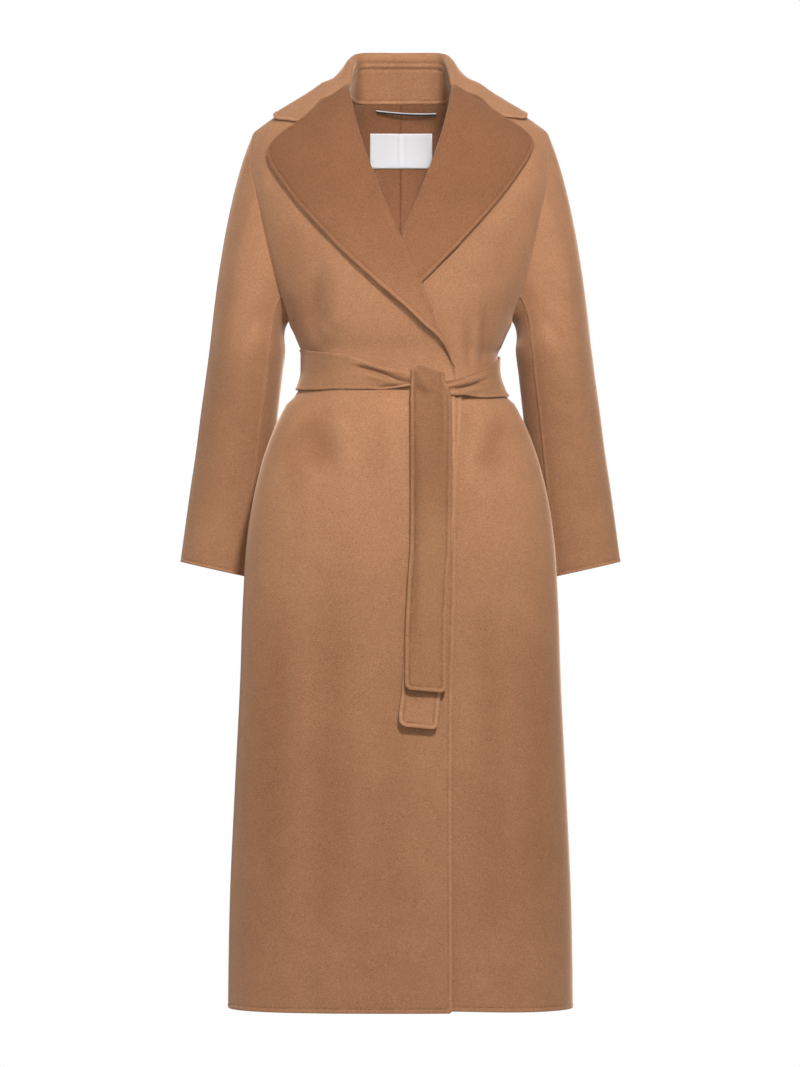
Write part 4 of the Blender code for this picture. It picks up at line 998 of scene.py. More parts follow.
# The turned face is painted darker as painted shade, most at its top, and pales towards the lapel's lower
# end.
LAPEL_WOOL_PAINTED_SHADE = wool("camel_wool_lapels_painted_shade", (0.278, 0.131, 0.066), upper=(-0.3, -0.1, (0.64, 0.585, 0.53)))
HEM_DROP = {RIGHT: -0.0008, LEFT: -0.0038}  # how much lower a front's hem hangs at its front edge
DROP_HEIGHT, DROP_START = 0.1, (-0.2, -0.04)  # how far up that fades out, and over which x it sets in

fronts, front_shapes = {}, {}
NOTCH_COLUMN = NECK_FIRST + sum(len(between(1.0, *pattern)) - 1 for pattern in LAPEL_PATTERNS[:3])
for side, name in ((RIGHT, "front_right"), (LEFT, "front_left")):
    lines = lapelled_lines(side)
    knots = mean_knots(lines[UNDERARM_ROW:], 1)
    grid = smooth(smooth(lines, ROW_KNOTS, MESH_ROWS, 0), knots, finer(knots), 1)
    along = lengths(grid, 1)
    whole, marks = along[:, -1], [np.zeros(len(grid))]
    for column, stretch in zip(LAPEL_COLUMNS, FOLD_STRETCH):
        marks.append(np.minimum(along[:, FINE * (SIDE_COLUMNS + column)], whole - stretch))
    marks = np.stack(marks + [whole], axis=1)
    grid = respace(grid, marks, (BODY_PATTERN, *LAPEL_PATTERNS))
    body_part = grid[:, : NECK_FIRST + 1]
    nap = np.zeros(grid.shape[:2])
    # nap here is painted shade in the creases' troughs and painted highlight on their ridges.
    nap[:, : NECK_FIRST + 1] = crease(body_part, FORWARD, body_part[..., (0, 2)], FRONT_CREASES[side])
    draw_in(body_part, FORWARD, False)
    fit(grid, "left", backs[RIGHT][: FIRST_ARMHOLE + 1, 0])
    fit(grid, "top", backs[RIGHT][-1, : NECK_FIRST + 1])
    round_corner(grid, -1, -1, TIP_CORNER)
    round_corner(grid, 0, -1, HEM_CORNER)
    near_hem = ease(HEM + DROP_HEIGHT, HEM, grid[..., 2]) * ease(*DROP_START, grid[..., 0])
    grid[..., 2] -= HEM_DROP[side] * near_hem
    grid = mirrored(grid) if side == LEFT else grid
    fronts[side], front_shapes[side] = grid, lines[-1]
    lapel_top = ((SEWN, 0, NOTCH_COLUMN), (FREE, NOTCH_COLUMN, None))
    edges = {"bottom": FREE, "left": SEWN, "right": FREE, "top": lapel_top}
    front = cloth(name + "_panel", grid, FORWARD, edges, CAMEL_WOOL, inside=LAPEL_WOOL_PAINTED_SHADE, nap=nap)
    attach(front, "root")
    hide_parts(name)

# ---------------- the sleeves
# Set-in two-piece sleeves of the same wool. An upper and a narrow under sleeve are joined by a seam in front
# and one behind, and set into the armholes. The cuffs are turned in and slip-stitched close to the edge.

# Below the armhole: height at the middle, distance out and y of the middle, half width, half depth.
SLEEVE = table(
    (-0.6425, 0.2537, 0.068, 0.0557, 0.046),
    (-0.59, 0.247, 0.064, 0.0553, 0.05),
    (-0.54, 0.2405, 0.058, 0.055, 0.054),
    (-0.48, 0.233, 0.047, 0.0537, 0.058),
    (-0.42, 0.226, 0.033, 0.053, 0.062),
    (-0.37, 0.2195, 0.021, 0.0525, 0.066),
    (-0.33, 0.2145, 0.012, 0.052, 0.069),
)
CUFF_SLANT = 0.0125  # the cuff rises by this much towards its outer side
CAP_STEPS = 6  # lines of the sleeve head
CAP_REACH = (0.65, 0.3)  # shares of the way out and down at which the sleeve head bends down
UNDERARM_REACH = 1.7  # the share of the way out at the underarm
UNDERARM_SPREAD = 75.0  # degrees round the sleeve over which that share falls to the sleeve head's
UNDER_SLEEVE_ANGLES = (-58.0, 52.0)  # the under sleeve's back and front seam, from its inmost line
CUFF = "cuff"
EDGE_STEPS[CUFF] = (0.0, 0.0004, 0.0012, 0.0024, 0.0034, 0.0041, 0.0046, 0.0051, 0.0058, 0.0072, 0.0095)
FINISH[CUFF] = (0.0046, 0.0005, 0.00045)
SLEEVE_PATTERN = (SEWN, 104, CUFF)
SLEEVE_FINE = 10  # steps in which a sleeve's line is followed between two shaping points
# Soft folds of the upper sleeves: degrees round the sleeve (0 inmost, 90 in front, 180 outmost) and height of
# each point of the line, width and height. They gather at the underarm and at the bend of the elbow.
SLEEVE_CREASES = table(
    (62.0, -0.262, 95.0, -0.305, 126.0, -0.33, 0.01, -0.0014),
    (58.0, -0.29, 82.0, -0.33, 104.0, -0.372, 0.012, 0.0009),
    (66.0, -0.375, 96.0, -0.402, 128.0, -0.412, 0.011, -0.0011),
    (60.0, -0.428, 92.0, -0.44, 120.0, -0.462, 0.01, -0.0009),
    (70.0, -0.5, 100.0, -0.53, 112.0, -0.58, 0.014, -0.0009),
    (-66.0, -0.3, -96.0, -0.345, -120.0, -0.38, 0.013, -0.0028),
    (-70.0, -0.4, -104.0, -0.432, -132.0, -0.446, 0.012, -0.0024),
    (-80.0, -0.48, -112.0, -0.52, -126.0, -0.575, 0.015, 0.0018),
    (150.0, -0.2, 152.0, -0.3, 148.0, -0.42, 0.02, -0.0014),
)
SLEEVE_ROUND = 0.056  # half the sleeve's width, which turns an angle round it into a length
FIRST_CAP = int(np.argmin(abs(MESH_ROWS - ROW_KNOTS[SEAM_ROW])))  # the mesh's row at the sleeve's seams
seam = FIRST_CAP - FIRST_ARMHOLE  # the same, counted from the underarm


def bent(start, bend, end, share):
    """A point on the way from a start to an end that leans towards a bend."""
    return start * (1 - share) ** 2 + bend * 2 * share * (1 - share) + end * share**2


def sleeve_angles(armhole, under_angle):
    """Degrees round the sleeve of the points of one side of the armhole, from the underarm up."""
    reach = lengths(armhole, 0)
    full = np.copysign(180.0, under_angle)
    under = reach[: seam + 1] / reach[seam] * under_angle
    above = (reach[seam + 1 :] - reach[seam]) / (reach[-1] - reach[seam])
    return np.concatenate((under, under_angle + above * (full - under_angle)))


def sleeve_ring(height, angle):
    out, middle_y, half_width, half_depth = read(SLEEVE, height)
    slant = CUFF_SLANT * ease(SLEEVE[-1, 0], SLEEVE[0, 0], height)
    x = -out + half_width * np.cos(angle)
    return np.array((x, middle_y - half_depth * np.sin(angle), height - slant * np.cos(angle)))


def sleeve_line(start, degrees):
    """One line down the sleeve, from the armhole over the sleeve head to the cuff."""
    angle = np.radians(degrees)
    top = sleeve_ring(SLEEVE[-1, 0], angle)
    sideways, down = CAP_REACH
    sideways = blend(UNDERARM_REACH, sideways, ease(0.0, UNDERARM_SPREAD, abs(degrees)))
    bend = np.array((*blend(start[:2], top[:2], sideways), blend(start[2], top[2], down)))
    head = [bent(start, bend, top, share) for share in np.linspace(0.0, 1.0, CAP_STEPS + 1)]
    return head + [sleeve_ring(row[0], angle) for row in SLEEVE[-2::-1]]


sleeve_folds = SLEEVE_CREASES.copy()
sleeve_folds[:, :-2:2] = np.radians(sleeve_folds[:, :-2:2]) * SLEEVE_ROUND
for side, end in ((RIGHT, "right"), (LEFT, "left")):
    front_edge, back_edge = fronts[side][FIRST_ARMHOLE:, 0], backs[side][FIRST_ARMHOLE:, 0]
    if side == LEFT:
        front_edge, back_edge = mirrored(front_edge), mirrored(back_edge)
    sewn_lines = []
    for edge, under_angle in zip((back_edge, front_edge), UNDER_SLEEVE_ANGLES):
        turns = sleeve_angles(edge, under_angle)
        sewn_lines.append((np.array([sleeve_line(*pair) for pair in zip(edge, turns)]), turns))
    (back_part, back_turns), (front_part, front_turns) = sewn_lines
    upper = np.concatenate((front_part[seam:], back_part[seam:-1][::-1]))
    turns = np.concatenate((front_turns[seam:], back_turns[seam:-1][::-1]))
    under = np.concatenate((back_part[1 : seam + 1][::-1], front_part[: seam + 1]))
    for part, lines, outward in (("upper", upper, -1.0), ("under", under, 1.0)):
        knots = mean_knots(lines, 1)
        grid = smooth(lines, knots, finer(knots, SLEEVE_FINE), 1)
        grid = respace(grid, lengths(grid, 1)[:, (0, -1)], (SLEEVE_PATTERN,))
        nap = 0.0
        if part == "upper":
            around = np.broadcast_to(np.radians(turns)[:, None] * SLEEVE_ROUND, grid.shape[:2])
            places = np.stack((around, grid[..., 2]), axis=-1)
            # nap here is painted shade in the creases' troughs and painted highlight on their ridges.
            nap = crease(grid, (outward, 0.0, 0.0), places, sleeve_folds)
        if side == LEFT:
            grid, outward = mirrored(grid), -outward
        name = f"sleeve_{part}_{end}"
        seam_kind = FELLED if part == "upper" else SEWN
        edges = {"bottom": seam_kind, "top": seam_kind, "left": SEWN, "right": CUFF}
        sleeve = cloth(name + "_panel", grid, (outward, 0.0, 0.0), edges, CAMEL_WOOL, nap=nap)
        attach(sleeve, "root")
        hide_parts(name)

# ---------------- the collar
# One piece, stand and fall together, sewn to the back neckline and to the tops of the lapels as far as the
# notches. The stand rises inside the neck, rolls over, and the fall lies over the shoulders.

# Stations from the lapel to the centre back: place on the neckline; x, y and height of the roll's crest; x of
# the outer edge, how far it lies behind the top of the shoulder, in degrees, and above the cloth below it.
COLLAR = table(
    (0.0742, 0.0728, -0.006, 0.05, 0.175, -4.0, 0.006),
    (0.0705, 0.0706, 0.008, 0.0632, 0.172, 8.0, 0.006),
    (0.064, 0.0686, 0.025, 0.0748, 0.164, 24.0, 0.006),
    (0.054, 0.0648, 0.043, 0.0822, 0.145, 38.0, 0.0065),
    (0.04, 0.0545, 0.0555, 0.0858, 0.113, 46.0, 0.007),
    (0.0205, 0.03, 0.0625, 0.0868, 0.06, 50.0, 0.0075),
    (0.0, 0.0, 0.065, 0.0868, 0.0, 52.0, 0.0075),
)
# Radius of the roll, behind and at the sides, and distances from the middle between which it changes.
COLLAR_ROLL, ROLL_SIDES = (0.0045, 0.003), (0.03, 0.068)
COLLAR_POINT = (0.1735, -21.0, 0.006)  # x, degrees and lift of the collar's front corner
# The stand's inner sides are painted darker, as painted shade: how much darker, and the x and the distances
# past the roll between which that sets in and ends.
STAND_PAINTED_SHADE, STAND_SIDES = 0.52, ((0.05, 0.064), (-0.01, 0.0))
FALL_LEAN = (0.0, 0.46)  # how much steeper than its chord the fall starts, and how far that reaches
STAND_ROWS, FALL_ROWS = 3, 6
ROLLED = "rolled"
EDGE_STEPS[ROLLED] = (0.0, 0.0005, 0.0012, 0.0022, 0.0032, 0.0042, 0.0052, 0.006, 0.0068, 0.0082)
FINISH[ROLLED] = (0.006, 0.0004, 0.0012)
COLLAR_PATTERNS = ((ROLLED, 34, PLAIN), (PLAIN, 16, PLAIN), (PLAIN, 12, PLAIN), (PLAIN, 8, FREE))
# Two pressed ridges run inside the stand, just below the roll, and each leaf has a soft fold near its roll.
# Distance from the middle and past the roll of each point of the line, width and height; the shown face is
# the cloth's other one, so a height below nothing stands up.
COLLAR_CREASES = (
    (-0.16, -0.0105, 0.0, -0.01, 0.16, -0.0105, 0.0022, -0.0012),
    (-0.16, -0.0148, 0.0, -0.0143, 0.16, -0.0148, 0.0018, 0.001),
    (-0.16, -0.0192, 0.0, -0.0187, 0.16, -0.0192, 0.0022, -0.0012),
    (-0.078, 0.004, -0.09, 0.028, -0.108, 0.058, 0.006, -0.0044),
    (-0.098, 0.008, -0.112, 0.034, -0.128, 0.064, 0.009, 0.003),
    (0.076, 0.004, 0.089, 0.028, 0.108, 0.06, 0.006, -0.0042),
    (0.098, 0.008, 0.113, 0.034, 0.13, 0.064, 0.009, 0.0028),
)
# The collar's creases get painted shade and painted highlight at this strength.
COLLAR_PAINTED_SHADE = -0.5  # how strongly the nap shades in them, turned round like their heights
COLLAR_CORNER = 0.0085  # radius of the collar's corners
NEAR_ANGLE = 0.02  # how many radians apart two points lie that give a direction


def shoulder_point(x, degrees, lift):
    """A point above the roll of the shoulders, so many degrees behind (or before) its top."""
    face = BACK if degrees > 0.0 else FRONT
    angle = np.pi / 2.0 - abs(np.radians(degrees))
    point = rolled(x, angle, face)
    near = rolled(x, angle - NEAR_ANGLE, face)
    beside = rolled(x + NEAR, angle, face)
    return point + unit(np.cross(point - near, beside - point)) * face * lift


def collar_column(station):
    """The collar at one station: up the stand, round the roll and down the fall."""
    neck_x, crest_x, crest_y, crest_z, edge_x, degrees, lift = station
    neck = rolled(-neck_x, roll_angle(-neck_x, read(BACK_NECK, neck_x)[2], BACK), BACK)
    edge = shoulder_point(-edge_x, degrees, lift)
    crest = np.array((-crest_x, crest_y, crest_z))
    up, out = np.array((0.0, 0.0, 1.0)), unit((edge - crest) * (1.0, 1.0, 0.0))
    radius = blend(*COLLAR_ROLL, ease(*ROLL_SIDES, neck_x))
    centre = crest - up * radius
    foot = centre - out * radius
    column = [blend(neck, foot, step / STAND_ROWS) for step in range(STAND_ROWS + 1)]
    turns = TURN_COLUMNS - STAND_ROWS
    chord = edge - centre
    lean, reach = FALL_LEAN
    whole = min(np.pi / 2.0 + np.arctan2(-chord[2], np.linalg.norm(chord[:2])) + lean, np.pi)
    for step in range(1, turns + 1):
        angle = whole * step / turns
        column.append(centre - out * radius * np.cos(angle) + up * radius * np.sin(angle))
    start = column[-1]
    bend = start + (out * np.sin(whole) + up * np.cos(whole)) * np.linalg.norm(edge - start) * reach
    column += [bent(start, bend, edge, step / FALL_ROWS) for step in range(1, FALL_ROWS + 1)]
    return np.array(column)


def collar_end(lapel_top):
    """The collar's end: sewn along the lapel's top as far as the notch, then free to its point."""
    sewn = lapel_top[SIDE_COLUMNS : SIDE_COLUMNS + TURN_COLUMNS + NOTCH + 1]
    point = shoulder_point(-COLLAR_POINT[0], *COLLAR_POINT[1:])
    free = FALL_ROWS - NOTCH
    return np.vstack((sewn, [blend(sewn[-1], point, step / free) for step in range(1, free + 1)]))


half = [collar_column(station) for station in COLLAR]
right_half = [collar_end(front_shapes[RIGHT])] + half
left_half = [mirrored(collar_end(front_shapes[LEFT]))] + [mirrored(column) for column in half[:-1]]
lines = np.array(right_half + left_half[::-1])
knots, across_knots = mean_knots(lines, 0), mean_knots(lines, 1)
grid = smooth(smooth(lines, knots, finer(knots), 0), across_knots, finer(across_knots), 1)
columns = (0, STAND_ROWS, TURN_COLUMNS, TURN_COLUMNS + NOTCH, TURN_COLUMNS + FALL_ROWS)
marks = lengths(grid, 1)[:, [FINE * column for column in columns]]
grid = respace(grid, marks, COLLAR_PATTERNS)
centre = FINE * len(half)
parts = []
for piece in (grid[: centre + 1], grid[centre:][::-1]):
    turned = np.swapaxes(piece, 0, 1)
    turned = respace(turned, lengths(turned, 1)[:, (0, -1)], (NECK_PATTERN,))
    parts.append(np.swapaxes(turned, 0, 1))
notch = sum(len(between(1.0, *pattern)) - 1 for pattern in COLLAR_PATTERNS[:3]) + 1
for part, side in zip(parts, (RIGHT, LEFT)):
    fit(part, "left", backs[side][-1, NECK_FIRST:])
    lapel_top = fronts[side][-1, NECK_FIRST : NOTCH_COLUMN + 1]
    edge = part[0, :notch]
    reach, own = lengths(lapel_top, 0), lengths(edge, 0)
    fit(part, "bottom", along_line(lapel_top, reach, own * reach[-1] / own[-1]))
grid = np.concatenate((parts[0], parts[1][-2::-1]))
crest = len(between(1.0, *COLLAR_PATTERNS[0])) - 1
across = lengths(grid, 1)
places = np.stack((grid[..., 0], across - across[:, crest : crest + 1]), axis=-1)
# nap here is painted shade in the creases' troughs and painted highlight on their ridges.
nap = crease(grid, FORWARD, places, COLLAR_CREASES, COLLAR_PAINTED_SHADE)
sides, rolled_over = STAND_SIDES
# Painted shade on the stand's inner sides.
nap = nap - STAND_PAINTED_SHADE * ease(*sides, np.abs(places[..., 0])) * (1.0 - ease(*rolled_over, places[..., 1]))
for row in (0, -1):
    round_corner(grid, row, -1, COLLAR_CORNER)
collar_end_edge = ((SEWN, 0, notch - 1), (FREE, notch - 1, None))
edges = {"left": ROLLED, "right": FREE, "bottom": collar_end_edge, "top": collar_end_edge}
collar = cloth("collar_panel", grid, FORWARD, edges, CAMEL_WOOL, nap=nap)
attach(collar, "root")
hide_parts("collar")

# ---------------- the belt round the waist
# A long tie belt of the same wool, folded double and slip-stitched along its edges. It lies round the waist
# and is drawn in to the knot, so it gathers there and narrows to a roll.

# Degrees round the section, from the right side (0) towards the front (90) or the back (-90), height of the
# top edge and of the bottom edge.
BELT = table(
    (-256.0, -0.3815, -0.402),
    (-245.0, -0.38, -0.403),
    (-235.0, -0.374, -0.403),
    (-222.0, -0.365, -0.4025),
    (-205.0, -0.3525, -0.4005),
    (-180.0, -0.343, -0.399),
    (-90.0, -0.3355, -0.3926),
    (0.0, -0.332, -0.3898),
    (20.0, -0.3345, -0.3905),
    (40.0, -0.3375, -0.3914),
    (60.0, -0.341, -0.3924),
    (72.0, -0.348, -0.3926),
    (80.0, -0.3565, -0.3926),
    (88.0, -0.363, -0.3914),
    (95.0, -0.366, -0.3888),
    (101.0, -0.366, -0.3878),
)
PRESSED = "pressed"
FINISH[PRESSED] = (0.0062, 0.00015, 0.0002)
BELT_STEPS, BELT_PATTERN = 250, (FREE, 24, FREE)  # how its mesh lies round the waist and across it
FAR_OFF = 9.0  # keeps the gathers off the back of the belt
# How far the belt stands off the body in front: x, distance.
BELT_STAND_OFF = table(
    (-0.13, 0.001), (-0.106, 0.0028), (-0.086, 0.0072), (-0.015, 0.0078), (0.008, 0.0106),
    (0.083, 0.0106), (0.096, 0.007), (0.106, 0.0032), (0.128, 0.001),
)
# The belt's wool is the coat's camel painted darker, as painted shade.
BELT_WOOL_PAINTED_SHADE = wool("camel_wool_belt_painted_shade", (0.276, 0.136, 0.067))  # brushed flat by the tying
# Gathers that run into the knot: x and height of each point of the line, width and height.
BELT_CREASES = (
    (-0.08, -0.349, -0.0283, -0.3608, 0.0104, -0.3708, 0.03, -0.375, 0.0052, 0.0034),
    (-0.072, -0.356, -0.0283, -0.368, -0.0076, -0.3768, 0.0117, -0.3802, 0.03, -0.381, 0.003, -0.0058),
    (-0.064, -0.366, -0.025, -0.377, 0.008, -0.3825, 0.03, -0.382, 0.0042, 0.0024),
    (-0.042, -0.3895, -0.02, -0.3876, -0.0007, -0.3846, 0.0117, -0.3818, 0.03, -0.382, 0.0026, -0.005),
    (-0.03, -0.3915, -0.005, -0.388, 0.0117, -0.386, 0.03, -0.386, 0.003, 0.0022),
    (0.13, -0.35, 0.103, -0.364, 0.072, -0.3775, 0.05, -0.385, 0.0046, 0.0034),
    (0.124, -0.358, 0.1097, -0.3658, 0.089, -0.374, 0.0697, -0.3809, 0.05, -0.388, 0.0028, -0.0052),
    (0.126, -0.368, 0.098, -0.3785, 0.072, -0.3845, 0.05, -0.39, 0.0036, 0.0026),
    (0.124, -0.372, 0.1097, -0.3795, 0.0959, -0.3851, 0.0738, -0.3892, 0.05, -0.392, 0.0026, -0.0046),
    (0.128, -0.386, 0.1, -0.392, 0.074, -0.395, 0.05, -0.396, 0.0038, 0.0018),
)


def belt_distance(x, angle):
    return read(BELT_STAND_OFF, x)[0] if np.sin(angle) > 0.0 else BELT_STAND_OFF[0, 1]


rows = []
for degrees in np.linspace(BELT[-1, 0], BELT[0, 0], BELT_STEPS + 1):
    top, bottom = read(BELT, degrees)
    angle = np.radians(degrees)
    row = []
    for height in bottom + between(top - bottom, *BELT_PATTERN):
        point = round_section(height, angle)
        ahead = round_section(height, angle - NEAR_ANGLE / 2.0)
        behind = round_section(height, angle + NEAR_ANGLE / 2.0)
        above = round_section(height + NEAR, angle)
        normal = unit(np.cross(ahead - behind, above - point))
        if np.dot(normal[:2], point[:2]) < 0.0:
            normal = -normal
        row.append(point + normal * belt_distance(point[0], angle))
    rows.append(row)
grid = np.array(rows)
places = np.where(grid[..., 1:2] < 0.0, grid[..., (0, 2)], FAR_OFF)
# nap here is painted shade in the gathers' troughs and painted highlight on their ridges.
nap = crease(grid, BACKWARD, places, BELT_CREASES)
edges = {"left": PRESSED, "right": PRESSED}
belt = cloth("belt_waist_band", grid, BACKWARD, edges, BELT_WOOL_PAINTED_SHADE, nap=nap)
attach(belt, "root")
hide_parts("belt_waist")

# ---------------- the belt's hanging ends and the knot
# The front end comes up behind the belt, turns over its top and hangs down in front, which makes the knot.
# The back end hangs out from under it. Both end in softly rounded corners.

# From the bottom up: height, x of its right and left edge, distance from the body.
END_FRONT = table(
    (-0.805, 0.0062, 0.0612, 0.019),
    (-0.793, 0.006, 0.0616, 0.0168),
    (-0.737, 0.0064, 0.062, 0.014),
    (-0.66, 0.0096, 0.0648, 0.0128),
    (-0.599, 0.0134, 0.0684, 0.0128),
    (-0.51, 0.0136, 0.069, 0.0132),
    (-0.45, 0.0134, 0.069, 0.0142),
    (-0.406, 0.0132, 0.0672, 0.0148),
    (-0.388, 0.0132, 0.063, 0.0158),
    (-0.372, 0.0134, 0.058, 0.015),
)
END_BACK = table(
    (-0.8555, -0.0012, 0.05, 0.016),
    (-0.843, -0.0024, 0.0508, 0.0134),
    (-0.811, 0.001, 0.0545, 0.0092),
    (-0.74, 0.005, 0.06, 0.0074),
    (-0.66, 0.01, 0.064, 0.0074),
    (-0.6, 0.0165, 0.0712, 0.0074),
    (-0.55, 0.0205, 0.0752, 0.0074),
    (-0.5, 0.0205, 0.0756, 0.0074),
    (-0.44, 0.019, 0.0745, 0.0074),
    (-0.383, 0.018, 0.073, 0.0074),
)
BELT_WIDTH = 0.056  # of the flat belt
TIE = "tie"
EDGE_STEPS[TIE] = (0.0, 0.0003, 0.001, 0.002, 0.0034, 0.0047, 0.0056, 0.0062, 0.0068, 0.0075, 0.0088, 0.0108)
FINISH[TIE] = (0.0064, 0.0006, 0.00075)
END_CORNER, END_PATTERN = 0.0085, (TIE, 22, TIE)  # radius of an end's corners, and its mesh across
END_STEPS, LEG_STEPS, TURN_STEPS = 110, 4, 12  # of the mesh: down an end, at the knot, round its top
END_SLANT = (0.005, 0.07)  # how much lower the left corner of an end is, and how far up that fades out
LOOP_LEG = (-0.362, -0.372, 0.0074)  # top and bottom of the leg behind the belt, distance from the body
# The top of the knot isn't level: share of the width, how far it lies below the highest point.
KNOT_TOP = table(
    (0.0, 0.007), (0.1, 0.0062), (0.17, 0.003), (0.28, 0.0), (0.42, 0.0016), (0.62, 0.006),
    (0.82, 0.0092), (1.0, 0.0125),
)
KNOT_BOTTOM = -0.415  # where that has faded out
END_FRONT_CREASES = (
    (0.0225, -0.356, 0.024, -0.368, 0.03, -0.38, 0.036, -0.392, 0.006, 0.0034),
    (0.0195, -0.376, 0.023, -0.388, 0.033, -0.396, 0.044, -0.404, 0.005, -0.003),
    (0.048, -0.36, 0.057, -0.374, 0.062, -0.4, 0.063, -0.45, 0.063, -0.52, 0.0046, 0.0026),
    (0.044, -0.364, 0.051, -0.38, 0.054, -0.41, 0.055, -0.48, 0.004, -0.0016),
    (0.0215, -0.39, 0.022, -0.5, 0.02, -0.65, 0.014, -0.8, 0.005, -0.0026),
    (0.05, -0.52, 0.046, -0.6, 0.042, -0.69, 0.044, -0.8, 0.012, 0.003),
)
END_BACK_CREASES = ((0.028, -0.68, 0.024, -0.76, 0.022, -0.85, 0.013, -0.0022),)


def belt_row(start, end, height, distance, slant=0.0, drop=0.0):
    shares = between(BELT_WIDTH, *END_PATTERN) / BELT_WIDTH
    return [
        off_body(blend(start, end, s), height - slant * s - drop * read(KNOT_TOP, s)[0], FRONT, distance)
        for s in shares
    ]


def belt_end(sizes):
    """The hanging stretch of an end, from the bottom up."""
    rows = []
    bottom = sizes[0, 0]
    slant, reach = END_SLANT
    for height in bottom + between(sizes[-1, 0] - bottom, TIE, END_STEPS, PLAIN):
        start, end, distance = read(sizes, height)
        drop = ease(KNOT_BOTTOM, LOOP_LEG[0], height) if sizes is END_FRONT else 0.0
        fade = 1.0 - ease(bottom, bottom + reach, height)
        rows.append(belt_row(start, end, height, distance, slant * fade, drop))
    return rows


front_end = belt_end(END_FRONT)
top, bottom, distance = LOOP_LEG
start, end, front_distance = END_FRONT[-1, 1:]
radius = (front_distance - distance) / 2.0
for height in np.linspace(END_FRONT[-1, 0], top, LEG_STEPS + 1)[1:-1]:
    front_end.append(belt_row(start, end, height, front_distance, 0.0, ease(KNOT_BOTTOM, top, height)))
for angle in np.linspace(0.0, np.pi, TURN_STEPS + 1):
    way = distance + radius * (1.0 + np.cos(angle))
    front_end.append(belt_row(start, end, top + radius * np.sin(angle), way, 0.0, 1.0))
for height in np.linspace(top, bottom, LEG_STEPS)[1:]:
    front_end.append(belt_row(start, end, height, distance, 0.0, 1.0))
# The front end's wool is the coat's camel painted darker, as painted shade, and darker still towards the knot
# above.
KNOT_WOOL_PAINTED_SHADE = wool("camel_wool_knot_painted_shade", (0.281, 0.138, 0.067), upper=(-0.62, -0.49, (0.745, 0.71, 0.7)))
ends = (
    ("belt_end_front", np.array(front_end), END_FRONT_CREASES, (0.056, 0.46), KNOT_WOOL_PAINTED_SHADE),
    ("belt_end_back", np.array(belt_end(END_BACK)), END_BACK_CREASES, (0.056, 0.475), CAMEL_WOOL),
)
for name, grid, creases, flat, material in ends:
    # nap here is painted shade in the creases' troughs and painted highlight on their ridges.
    nap = crease(grid, FORWARD, grid[..., (0, 2)], creases)
    for column in (0, -1):
        round_corner(grid, 0, column, END_CORNER)
    edges = {"bottom": TIE, "left": TIE, "right": TIE}
    end = cloth(name + "_tie", grid, FORWARD, edges, material, nap=nap)
    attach(end, "root")
    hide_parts(name)

# ---------------- the label and the hanging loop
# A bare woven label is sewn flat to the inside of the back, under the neck seam. Above it a narrow loop of
# black satin ribbon hangs the coat up.
RIBBON = 0.0008  # thickness of the label and of the ribbon
LABEL = (0.0009, 0.0886, -0.0242, -0.0731)  # middle (x), width, top and bottom
LABEL_MESH, LOOP_MESH = (45, 25), (49, 15)  # points across and up
LABEL_OFF, LOOP_OFF = 0.0019, 0.002  # how far the middle of each lies inside the middle of the back's cloth
# The hanging loop: x and height of both ends, how far its middle hangs off the back. The folded ribbon makes
# a half round with a radius, so many degrees to either side. Its upper edge is painted pale, as a painted
# highlight.
HANGER = (-0.0352, 0.0066, 0.0512, 0.0022, 0.0035)
HANGER_RADIUS, HANGER_TURN, PAINTED_HIGHLIGHT_ROWS = 0.0016, 80.0, 4
SATIN_SURFACE = {"Specular IOR Level": 0.5, "Sheen Weight": 0.15}
SATIN_WEAVE = {"Distortion": 0.6, "Detail": 2.0}
THREAD_SHADE, SATIN_RELIEF = 0.86, (0.25, 0.0002)  # tone between the threads; strength and height of them


def satin(name, colour, roughness, threads):
    material, tree, shader = surface(name, {"Roughness": roughness, **SATIN_SURFACE})
    place = node(tree, "TexCoord").outputs["Object"]
    inputs = {"Vector": place, "Scale": threads, **SATIN_WEAVE}
    weave = node(tree, "TexWave", inputs, wave_type="BANDS", bands_direction="Z").outputs["Fac"]
    dark = [value * THREAD_SHADE for value in colour]
    paint = toned(tree, weave, (0.0, dark), (1.0, colour))
    fill(shader, {"Base Color": paint, "Normal": raised(tree, weave, *SATIN_RELIEF)})
    return material


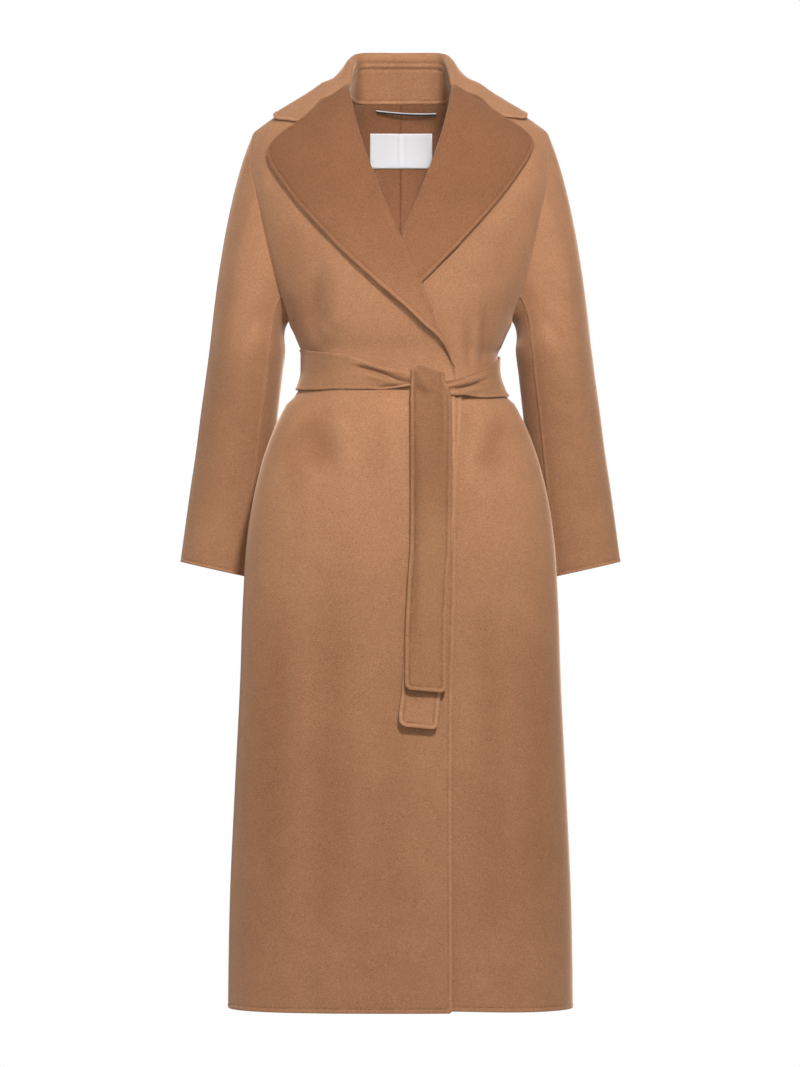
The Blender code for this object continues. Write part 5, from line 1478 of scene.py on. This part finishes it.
def ribbon(name, solid, points, material):
    edges = dict.fromkeys(("bottom", "top", "left", "right"), FREE)
    piece = cloth(name, points, BACKWARD, edges, material, RIBBON)
    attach(piece, "root")
    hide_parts(solid)
    return piece


middle, width, top, bottom = LABEL
across = np.linspace(middle - width / 2, middle + width / 2, LABEL_MESH[0])
up = np.linspace(bottom, top, LABEL_MESH[1])
grid = np.array([[off_body(x, height, BACK, -LABEL_OFF) for x in across] for height in up])
# The back's centre seam stands out through the label as a fine crease, and one half of it bulges a little.
LABEL_CREASES = (
    (-0.0012, 0.02, -0.0008, -0.045, 0.0, -0.12, 0.0016, -0.0008),
    (0.004, 0.02, 0.0044, -0.045, 0.004, -0.12, 0.0034, 0.0004),
    (-0.03, 0.0, -0.026, -0.05, -0.03, -0.1, 0.01, 0.0005),
)
crease(grid, BACKWARD, grid[..., (0, 2)], LABEL_CREASES)
PALE_SATIN = satin("pale_satin", (0.74, 0.735, 0.745), 0.55, 900.0)
ribbon("woven_label", "label", grid, PALE_SATIN)

start, start_height, end, end_height, sag = HANGER
rows = []
for turn in np.radians(np.linspace(-HANGER_TURN, HANGER_TURN, LOOP_MESH[1])):
    row = []
    for s in np.linspace(0.0, 1.0, LOOP_MESH[0]):
        off = LOOP_OFF + sag * np.sin(np.pi * s) + HANGER_RADIUS * np.cos(turn)
        height = blend(start_height, end_height, s) + HANGER_RADIUS * np.sin(turn)
        row.append(off_body(blend(start, end, s), float(height), BACK, -off))
    rows.append(row)
BLACK_SATIN = satin("black_satin", (0.01, 0.011, 0.018), 0.3, 1400.0)
grid = np.array(rows)
loop = ribbon("hanging_loop", "hanger_loop", grid, BLACK_SATIN)
# The rows along the upper edge get a pale satin: a painted highlight.
loop.data.materials.append(satin("satin_painted_highlight", (0.55, 0.56, 0.6), 0.4, 1400.0))
in_row, in_face = LOOP_MESH[0] - 1, (LOOP_MESH[0] - 1) * (LOOP_MESH[1] - 1)
for face in loop.data.polygons:
    if face.index % in_face >= in_face - in_row * PAINTED_HIGHLIGHT_ROWS and face.index < 2 * in_face:
        face.material_index = 1
